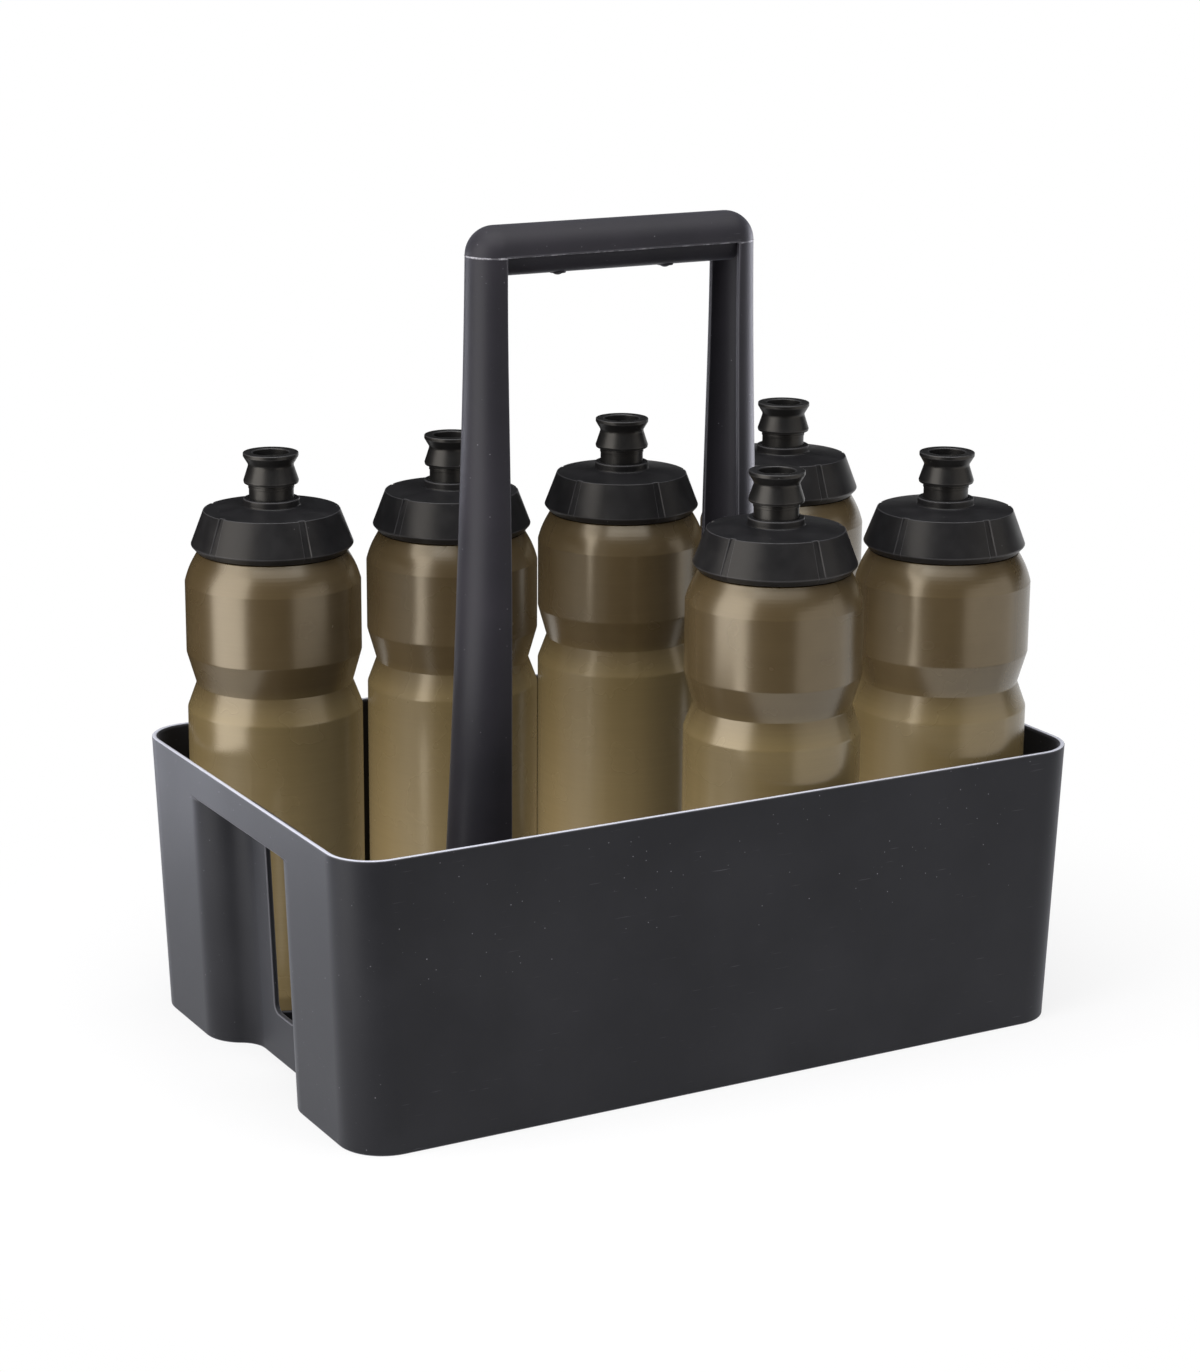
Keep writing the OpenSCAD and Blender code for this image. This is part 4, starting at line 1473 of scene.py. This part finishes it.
@dataclass
class Cap:
    """The screw cap: a slanted skirt with grip notches, a collar, and a valve nozzle inside."""

    bore_r: float = 26.6
    foot_r: float = 31.35
    foot_z: float = 194.7
    skirt_r: float = 33.7
    skirt_z: float = 197.3
    crown_r: float = 28.25
    crown_z: float = 211.6
    roof_z: float = 209.6
    collar_r: float = 11.6
    collar_z: float = 213.2
    collar_top: float = 216.4
    well_r: float = 9.6
    well_z: float = 208.6
    plug_z: float = 206.6
    nozzle_r: float = 6.4
    nozzle_bore: float = 5.0
    nozzle_top: float = 222.8
    pin_r: float = 2.4
    pin_top: float = 226.5
    spoke_t: float = 1.6
    spoke_h: float = 3.5
    spokes: int = 3
    notches: int = 5
    notch_turn: float = 0.97
    notch_half: float = 1.2
    notch_side: float = 0.3
    notch_deep: float = 0.95
    notch_shallow: float = 0.28
    notch_at_r: float = 30.0

    def notch_angles(self) -> np.ndarray:
        """Angles of the notches' middles, clockwise of the front by a share of a step."""
        return np.radians(-90 + 360 * (np.arange(self.notches) - self.notch_turn) / self.notches)

    def columns(self) -> np.ndarray:
        """Angles of the columns: close together at each notch's sides, and even between.

        Returns:
            The angles, in rising order.
        """
        whole, none = self.notch_half, self.notch_half + self.notch_side
        sides = np.array([0.0, whole - 0.3, whole, none, none + 0.3]) / self.notch_at_r
        near = np.concatenate([-sides[:0:-1], sides])
        step = 2 * math.pi / self.notches
        far = np.linspace(sides[-1], step - sides[-1], 20)[1:-1]
        return np.sort((self.notch_angles()[:, None] + np.concatenate([near, far])).ravel())

    def outline(self) -> tuple[np.ndarray, Thread]:
        """Outline of the cap's wall, and the thread in its bore.

        Returns:
            Points (r, z) and the bore's thread.
        """
        corners = [[self.nozzle_bore, self.plug_z], [self.collar_r, self.plug_z],
                   [self.collar_r, self.roof_z], [self.bore_r, self.roof_z],
                   [self.bore_r, self.foot_z], [self.foot_r, self.foot_z],
                   [self.skirt_r, self.skirt_z], [self.crown_r, self.crown_z],
                   [self.collar_r, self.collar_z], [self.collar_r, self.collar_top],
                   [self.well_r, self.collar_top], [self.well_r, self.well_z],
                   [self.nozzle_r, self.well_z], [self.nozzle_r, self.nozzle_top],
                   [self.nozzle_bore, self.nozzle_top]]
        radii = [0.2, 0.4, 0.4, 0.4, 0.35, 0.4, 0.8, 0.3, 0.7, 0.45, 0.35, 0.5, 0.4, 0.4, 0.3]
        # Two more points on the roof's slope stop the notches' shading from running inwards.
        slope = (self.collar_z - self.crown_z) / (self.crown_r - self.collar_r)
        roof = [[r, self.crown_z + slope * (self.crown_r - r)] for r in (26.8, 26.3)]
        corners[8:8] = roof
        radii[8:8] = [0, 0]
        steps = 4
        path = fillet_path(corners, radii, steps, 0.3)
        thread = Thread(self.foot_z + 1.0, self.roof_z - 1.0, 0.7, 2.5)
        cut = 4 * (steps + 3)
        rows = np.stack(np.broadcast_arrays(self.bore_r, thread.heights()[::-1]), axis=-1)
        return np.concatenate([path[:cut], rows, path[cut:]]), thread

    def notch_at(self, angle: np.ndarray, r: np.ndarray, z: np.ndarray) -> np.ndarray:
        """Depth of the notches: deep at the crown, shallow at the foot, flat-floored across.

        Across a notch the depth is whole within its half width and falls to nothing over its
        side. Up the slope it grows evenly, and on the roof it dies out over a millimetre.

        Args:
            angle: Angles about the axis.
            r: Distances from the axis.
            z: Heights above the axis' foot, all three of the same shape.

        Returns:
            The depth at each point.
        """
        off = (angle[..., None] - self.notch_angles() + math.pi) % (2 * math.pi) - math.pi
        across = np.abs(off).min(axis=-1) * self.notch_at_r
        share = np.clip((self.notch_half + self.notch_side - across) / self.notch_side, 0, 1)
        heights = [self.foot_z + 0.6, self.skirt_z + 0.3, self.crown_z]
        up = np.interp(z, heights, [0, self.notch_shallow, self.notch_deep])
        return share * up * np.clip((r - self.bore_r - 0.3) / 1.2, 0, 1)

    def build(self, name: str, centre: np.ndarray, material: bpy.types.Material) -> bpy.types.Object:
        """Builds one cap with its nozzle, plug pin and spokes.

        Args:
            name: The object's name.
            centre: Middle of the bottle's foot, (3,).
            material: Its material.

        Returns:
            The object.
        """
        outline, thread = self.outline()

        def sink(a: np.ndarray, r: np.ndarray, z: np.ndarray) -> np.ndarray:
            """Cuts the notches outside and raises the thread in the bore."""
            inside = np.abs(r - self.bore_r) < 0.01
            return np.where(inside, thread.ridge_at(a, z), self.notch_at(a, r, z))

        skin = Skin()
        skin.grid(lathe(outline, centre, self.columns(), sink))
        low, top = self.nozzle_top - self.spoke_h, self.pin_top
        pin = fillet_path([[0, low], [self.pin_r, low], [self.pin_r, top], [0, top]], [0, 0.3, 0.7, 0])
        skin.grid(lathe(pin, centre, 32))
        reach = (self.nozzle_bore + self.nozzle_r) / 2
        half = self.spoke_t / 2
        flat = fillet_path([[0, -half], [reach, -half], [reach, half], [0, half]], 0.2, 2)
        for k in range(self.spokes):
            turn = 2 * math.pi * k / self.spokes
            swing = np.array([[math.cos(turn), math.sin(turn)], [-math.sin(turn), math.cos(turn)]])
            skin.block(prism(flat @ swing, low, self.nozzle_top - 0.3, 0.3) + centre)
        return skin.build(name, material)


@dataclass
class Spout:
    """The pull-up spout: a stem with two lands, a flare, a bite neck and a lip round the mouth."""

    bore_r: float = 6.5
    stem_low: float = 215.2
    stem_r: float = 9.25
    land_r: float = 9.5
    land_w: float = 1.0
    flare_low: float = 222.7
    flare_r: float = 11.45
    flare_z: float = 223.8
    bite_r: float = 9.3
    bite_z: float = 230.4
    lip_z: float = 234.0
    top: float = 235.5
    mouth_r: float = 7.5
    web_top: float = 232.0
    web_low: float = 230.0
    hole_r: float = 2.5

    def build(self, name: str, centre: np.ndarray, material: bpy.types.Material) -> bpy.types.Object:
        """Builds one spout as a lathe of its rounded outline.

        Args:
            name: The object's name.
            centre: Middle of the bottle's foot, (3,).
            material: Its material.

        Returns:
            The object.
        """
        land, stem, w = self.land_r, self.stem_r, self.land_w
        corners = [[self.bore_r, self.stem_low], [land, self.stem_low], [land, self.stem_low + w],
                   [stem, self.stem_low + w], [stem, self.flare_low - 2 * w], [land, self.flare_low - 2 * w],
                   [land, self.flare_low - w], [stem, self.flare_low - w], [stem, self.flare_low],
                   [self.flare_r - 0.25, self.flare_low], [self.flare_r, self.flare_z],
                   [self.bite_r, self.bite_z],
                   [self.flare_r, self.lip_z], [self.flare_r, self.top], [self.mouth_r, self.top],
                   [self.mouth_r, self.web_top], [self.hole_r, self.web_top], [self.hole_r, self.web_low],
                   [self.bore_r, self.web_low]]
        radii = [0.2, 0.2, *[0.1] * 6, 0.3, 0.35, 0.5, 1.6, 0.6, 0.4, 0.5, 0.8, 0.4, 0.3, 0.3]
        skin = Skin()
        skin.grid(lathe(fillet_path(corners, radii, 6), centre, 72))
        return skin.build(name, material)


@dataclass
class Seal:
    """The flat silicone ring that lies in the cap's roof."""

    inner_r: float = 22.9
    outer_r: float = 26.1
    low: float = 208.1
    high: float = 209.6

    def build(self, name: str, centre: np.ndarray, material: bpy.types.Material) -> bpy.types.Object:
        """Builds one seal as a lathe of a rounded rectangle.

        Args:
            name: The object's name.
            centre: Middle of the bottle's foot, (3,).
            material: Its material.

        Returns:
            The object.
        """
        corners = [[self.inner_r, self.low], [self.outer_r, self.low], [self.outer_r, self.high],
                   [self.inner_r, self.high]]
        skin = Skin()
        skin.grid(lathe(fillet_path(corners, 0.4), centre, 72))
        return skin.build(name, material)


def linked(name: str, pieces: list[bpy.types.Object], state: str = "INCLUDE") -> bpy.types.Collection:
    """Gathers pieces for a lamp's list of what it lights or what shades it.

    Args:
        name: The collection's name.
        pieces: The pieces.
        state: "INCLUDE" for these alone, or "EXCLUDE" for all but these.

    Returns:
        The collection, which stays out of the scene.
    """
    made = bpy.data.collections.new(name)
    for piece in pieces:
        made.objects.link(piece)
    for item in made.collection_objects:
        item.light_linking.link_state = state
    return made


@dataclass
class Studio:
    """The camera, the pale floor and the soft lamps."""

    image_w: int = 1200
    image_h: int = 1372
    focal_px: float = 3287.87
    yaw: float = 29.204
    pitch: float = 15.371
    roll: float = 0.405
    eye: tuple[float, float, float] = (-654.10, -1163.01, 509.94)
    floor_r: float = 380.0
    flag_r: float = 2600.0

    def camera(self) -> None:
        """Places the camera as measured from the photograph's edges.

        The view looks back along (-sin yaw cos pitch, -cos yaw cos pitch, sin pitch), turned by
        the roll about its own axis. The lens is the focal length as a share of the long side.
        """
        yaw, pitch, roll = (math.radians(v) for v in (self.yaw, self.pitch, self.roll))
        back = Vector((-math.sin(yaw) * math.cos(pitch), -math.cos(yaw) * math.cos(pitch), math.sin(pitch)))
        right = (-back).cross(Vector((0, 0, 1))).normalized()
        up = right.cross(-back)
        turned = right * math.cos(roll) + up * math.sin(roll)
        raised = up * math.cos(roll) - right * math.sin(roll)
        data = bpy.data.cameras.new("camera")
        data.sensor_width = 36.0
        data.lens = 36.0 * self.focal_px / max(self.image_w, self.image_h)
        data.clip_end = 50.0
        made = bpy.data.objects.new("camera", data)
        turn = Matrix((turned, raised, back)).transposed().to_4x4()
        made.matrix_world = Matrix.Translation(Vector(self.eye) * MM) @ turn
        bpy.context.scene.collection.objects.link(made)
        bpy.context.scene.camera = made

    def floor(self) -> None:
        """Lays the floor: white to the camera, with the object's soft shadow near it.

        For camera, glossy and transmission rays a share of plain white is mixed over the lit
        floor, and that share grows to the whole with the distance from the object.
        """
        made = bpy.data.materials.new("white_acrylic_floor")
        made.use_nodes = True
        tree = made.node_tree
        tree.nodes.clear()
        place = add(tree, "TexCoord").outputs["Object"]
        far = add(tree, "VectorMath", {0: place}, operation="LENGTH").outputs["Value"]
        near, clear, least = 0.2, 0.37, 0.78
        span = {"Value": far, 1: near, 2: clear, 3: least, 4: 1.0}
        fade = add(tree, "MapRange", span, interpolation_type="SMOOTHSTEP").outputs[0]
        share = product(tree, self.shown(tree), fade)
        lit = add(tree, "BsdfDiffuse", {"Color": linear("#e9e9ea")})
        white = add(tree, "Emission", {"Color": (1.0, 1.0, 1.0, 1.0), "Strength": 1.0})
        mixed = add(tree, "MixShader", {0: share, 1: lit.outputs[0], 2: white.outputs[0]})
        add(tree, "OutputMaterial", {"Surface": mixed.outputs[0]})
        skin = Skin()
        turn = np.linspace(0, 2 * math.pi, 96, endpoint=False)
        rim = np.stack([self.floor_r * np.cos(turn), self.floor_r * np.sin(turn), 0 * turn - 0.05], axis=-1)
        skin.grid(np.stack([rim, rim * [0.02, 0.02, 1]]), (False, True))
        skin.plate(rim * [0.02, 0.02, 1])
        skin.build("table_top", made)

    def flag(self, name: str, span: tuple[float, float], z: tuple[float, float]) -> None:
        """Hangs a black cloth behind the lamps.

        It is a part of a drum: x = r sin a, y = -r cos a. Glossy faces mirror it, which keeps
        dark plastic dark. The camera never sees it.

        Args:
            name: Its name.
            span: Directions of its ends in degrees, 0 at the front and growing to the right.
            z: Heights of its lower and upper edge.
        """
        made = bpy.data.materials.new("black_cotton_velvet")
        made.use_nodes = True
        shader = made.node_tree.nodes["Principled BSDF"]
        shader.inputs["Base Color"].default_value = linear("#1c1c1c")
        shader.inputs["Roughness"].default_value = 0.9
        shader.inputs["Specular IOR Level"].default_value = 0.0
        a = np.radians(np.linspace(*span, 64))
        low, high = z
        line = np.stack([self.flag_r * np.sin(a), -self.flag_r * np.cos(a), 0 * a], axis=-1)
        skin = Skin()
        skin.grid(np.stack([line + [0, 0, low], line + [0, 0, high]]), (False, False))
        cloth = skin.build(name, made)
        cloth.visible_camera = False

    def shown(self, tree: bpy.types.NodeTree) -> bpy.types.NodeSocket:
        """One for camera, glossy and transmission rays, and nothing for the light's own paths.

        Args:
            tree: The node tree.

        Returns:
            The value.
        """
        path = add(tree, "LightPath").outputs
        seen = add(tree, "Math", {0: path["Is Camera Ray"], 1: path["Is Glossy Ray"]}, operation="MAXIMUM")
        either = add(tree, "Math", {0: seen.outputs[0], 1: path["Is Transmission Ray"]}, operation="MAXIMUM")
        return either.outputs[0]

    def world(self, strength: float) -> None:
        """Sets a white world that shows at one and lights at a lower strength.

        Args:
            strength: The strength at which it lights.
        """
        made = bpy.data.worlds.new("studio")
        bpy.context.scene.world = made
        made.use_nodes = True
        tree = made.node_tree
        tree.nodes.clear()
        level = add(tree, "MapRange", {"Value": self.shown(tree), 3: strength, 4: 1.0})
        sky = add(tree, "Background", {"Color": (1.0, 1.0, 1.0, 1.0), "Strength": level.outputs[0]})
        add(tree, "OutputWorld", {"Surface": sky.outputs[0]})

    def lamp(
        self,
        name: str,
        azimuth: float,
        height: float,
        distance: float,
        size: tuple[float, float],
        radiance: float,
        colour: str = "#ffffff",
        lit: bpy.types.Collection | None = None,
        blockers: bpy.types.Collection | None = None,
    ) -> None:
        """Adds one softbox that faces the object.

        Args:
            name: Its name.
            azimuth: Direction in degrees, 0 at the front and growing to the right.
            height: Height of its middle, in metres.
            distance: Level distance from the object's middle, in metres.
            size: Width and height, in metres.
            radiance: Brightness of its face, where 1 is white.
            colour: Its colour.
            lit: The pieces that it lights, or None for all.
            blockers: The pieces that cast its shadows, or None for all.
        """
        data = bpy.data.lights.new(name, "AREA")
        data.shape = "RECTANGLE"
        data.size, data.size_y = size
        # A face of radiance L gives the power pi times its area times L.
        data.energy = math.pi * size[0] * size[1] * radiance
        data.color = linear(colour)[:3]
        made = bpy.data.objects.new(name, data)
        a = math.radians(azimuth)
        place = Vector((math.sin(a) * distance, -math.cos(a) * distance, height))
        made.location = place
        made.rotation_euler = (place - Vector((0, 0, 0.15))).to_track_quat("Z", "Y").to_euler()
        made.visible_camera = False
        made.light_linking.receiver_collection = lit
        made.light_linking.blocker_collection = blockers
        bpy.context.scene.collection.objects.link(made)

    def build(self) -> None:
        """Builds the whole studio."""
        view = bpy.context.scene.view_settings
        view.view_transform = "Standard"
        self.camera()
        self.floor()
        # Low down, from 68 to 152 degrees, the world stays white for the right sides to mirror.
        self.flag("front_flag", (-165.0, 68.0), (-1500.0, 2600.0))
        self.flag("back_flag", (68.0, 195.0), (330.0, 2600.0))
        self.flag("narrow_flag", (152.0, 195.0), (-1500.0, 330.0))
        self.world(0.5)

    def lamps(self, pieces: dict[Slot, list[bpy.types.Object]]) -> None:
        """Adds the lamps, some of which light only a part of the pieces.

        The bottles and their tops have a pair of softboxes of their own, which only the caps,
        spouts and seals shade, so that the tray, the handle and the next bottle's body cut no
        band of light. The other pair lights the rest, and the two strips light the edges.

        Args:
            pieces: The pieces of each slot.
        """
        handle = linked("lit_on_the_handle", pieces[Slot.HANDLE])
        plastic = linked("lit_on_the_plastic", pieces[Slot.HANDLE] + pieces[Slot.TRAY])
        tops = pieces[Slot.CAP] + pieces[Slot.SPOUT] + pieces[Slot.SEAL]
        bottles = linked("lit_on_the_bottles", pieces[Slot.BOTTLE] + tops)
        others = linked("lit_off_the_bottles", pieces[Slot.BOTTLE] + tops, "EXCLUDE")
        shades = linked("caps_that_shade", tops)
        self.lamp("top_softbox", -20, 1.75, 0.4, (2.0, 1.6), 3.2)
        self.lamp("left_softbox", -87, 0.4, 2.3, (2.2, 3.4), 4.8, "#ffffff", others)
        self.lamp("right_softbox", 31, 0.1, 1.7, (1.9, 1.7), 1.1, "#ffffff", others)
        self.lamp("bottle_left_softbox", -87, 0.4, 2.3, (2.2, 3.4), 4.3, "#fff8ee", bottles, shades)
        self.lamp("bottle_right_softbox", 34, 0.1, 1.7, (2.4, 1.7), 1.15, "#fff6ea", bottles, shades)
        self.lamp("back_left_strip", -150, -0.28, 1.25, (0.6, 1.2), 4.5, "#f2f4ff", plastic)
        self.lamp("right_strip", 100, 0.0, 1.3, (0.8, 1.3), 6.0, "#f2f2ff", handle)


@dataclass
class Carrier:
    """The whole carrier: tray, bow handle with its insert, and the bottles with their tops."""

    tray: Tray = field(default_factory=Tray)
    handle: BowHandle = field(default_factory=BowHandle)
    insert: GripInsert = field(default_factory=GripInsert)
    bottle: Bottle = field(default_factory=Bottle)
    cap: Cap = field(default_factory=Cap)
    spout: Spout = field(default_factory=Spout)
    seal: Seal = field(default_factory=Seal)

    def place(self, node: str) -> np.ndarray:
        """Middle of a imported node's underside, from its box.

        Args:
            node: The node.

        Returns:
            The point, (3,).
        """
        low, high = (np.array(corner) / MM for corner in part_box(node))
        return np.array([(low[0] + high[0]) / 2, (low[1] + high[1]) / 2, low[2]])

    def build(
        self, made: dict[Slot, bpy.types.Material], frame: dict
    ) -> dict[Slot, list[bpy.types.Object]]:
        """Builds and dresses every piece.

        Args:
            made: Material of each slot.
            frame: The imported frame.

        Returns:
            The pieces of each slot.
        """
        tray = self.tray.build(made[Slot.TRAY])
        shell = self.handle.build(made[Slot.HANDLE], self.tray)
        insert = self.insert.build(made[Slot.HANDLE])
        dress(tray, "tray", "carrier")
        dress(shell, "handle_shell", "carrier")
        dress(insert, "grip_insert", "carrier")
        pieces = {slot: [] for slot in Slot}
        pieces[Slot.TRAY].append(tray)
        pieces[Slot.HANDLE].extend([shell, insert])
        count = sum(node.startswith("bottle_") for node in frame["nodes"])
        for i in range(1, count + 1):
            centre = self.place(f"bottle_{i}")
            kinds = (
                (self.bottle, "bottle", Slot.BOTTLE),
                (self.seal, "seal", Slot.SEAL),
                (self.cap, "cap", Slot.CAP),
                (self.spout, "spout", Slot.SPOUT),
            )
            for maker, kind, slot in kinds:
                node = f"{kind}_{i}"
                piece = maker.build(f"moulded_{node}", centre, made[slot])
                dress(piece, node, node)
                pieces[slot].append(piece)
        for node, packed in frame["nodes"].items():
            if node.startswith(("foot_screw", "grip_rivet")):
                slot = Slot.SCREW if node.startswith("foot_screw") else Slot.HANDLE
                packed.data.materials.clear()
                packed.data.materials.append(made[slot])
                LOG.info("%s keeps its CAD shape in %s", node, made[slot].name)
                pieces[slot].append(packed)
        return pieces


def main() -> None:
    """Loads the frame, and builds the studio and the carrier."""
    logging.basicConfig(level=logging.INFO, format="%(message)s")
    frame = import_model()
    studio = Studio()
    studio.build()
    studio.lamps(Carrier().build(finishes(), frame))


if __name__ == "__main__":
    main()
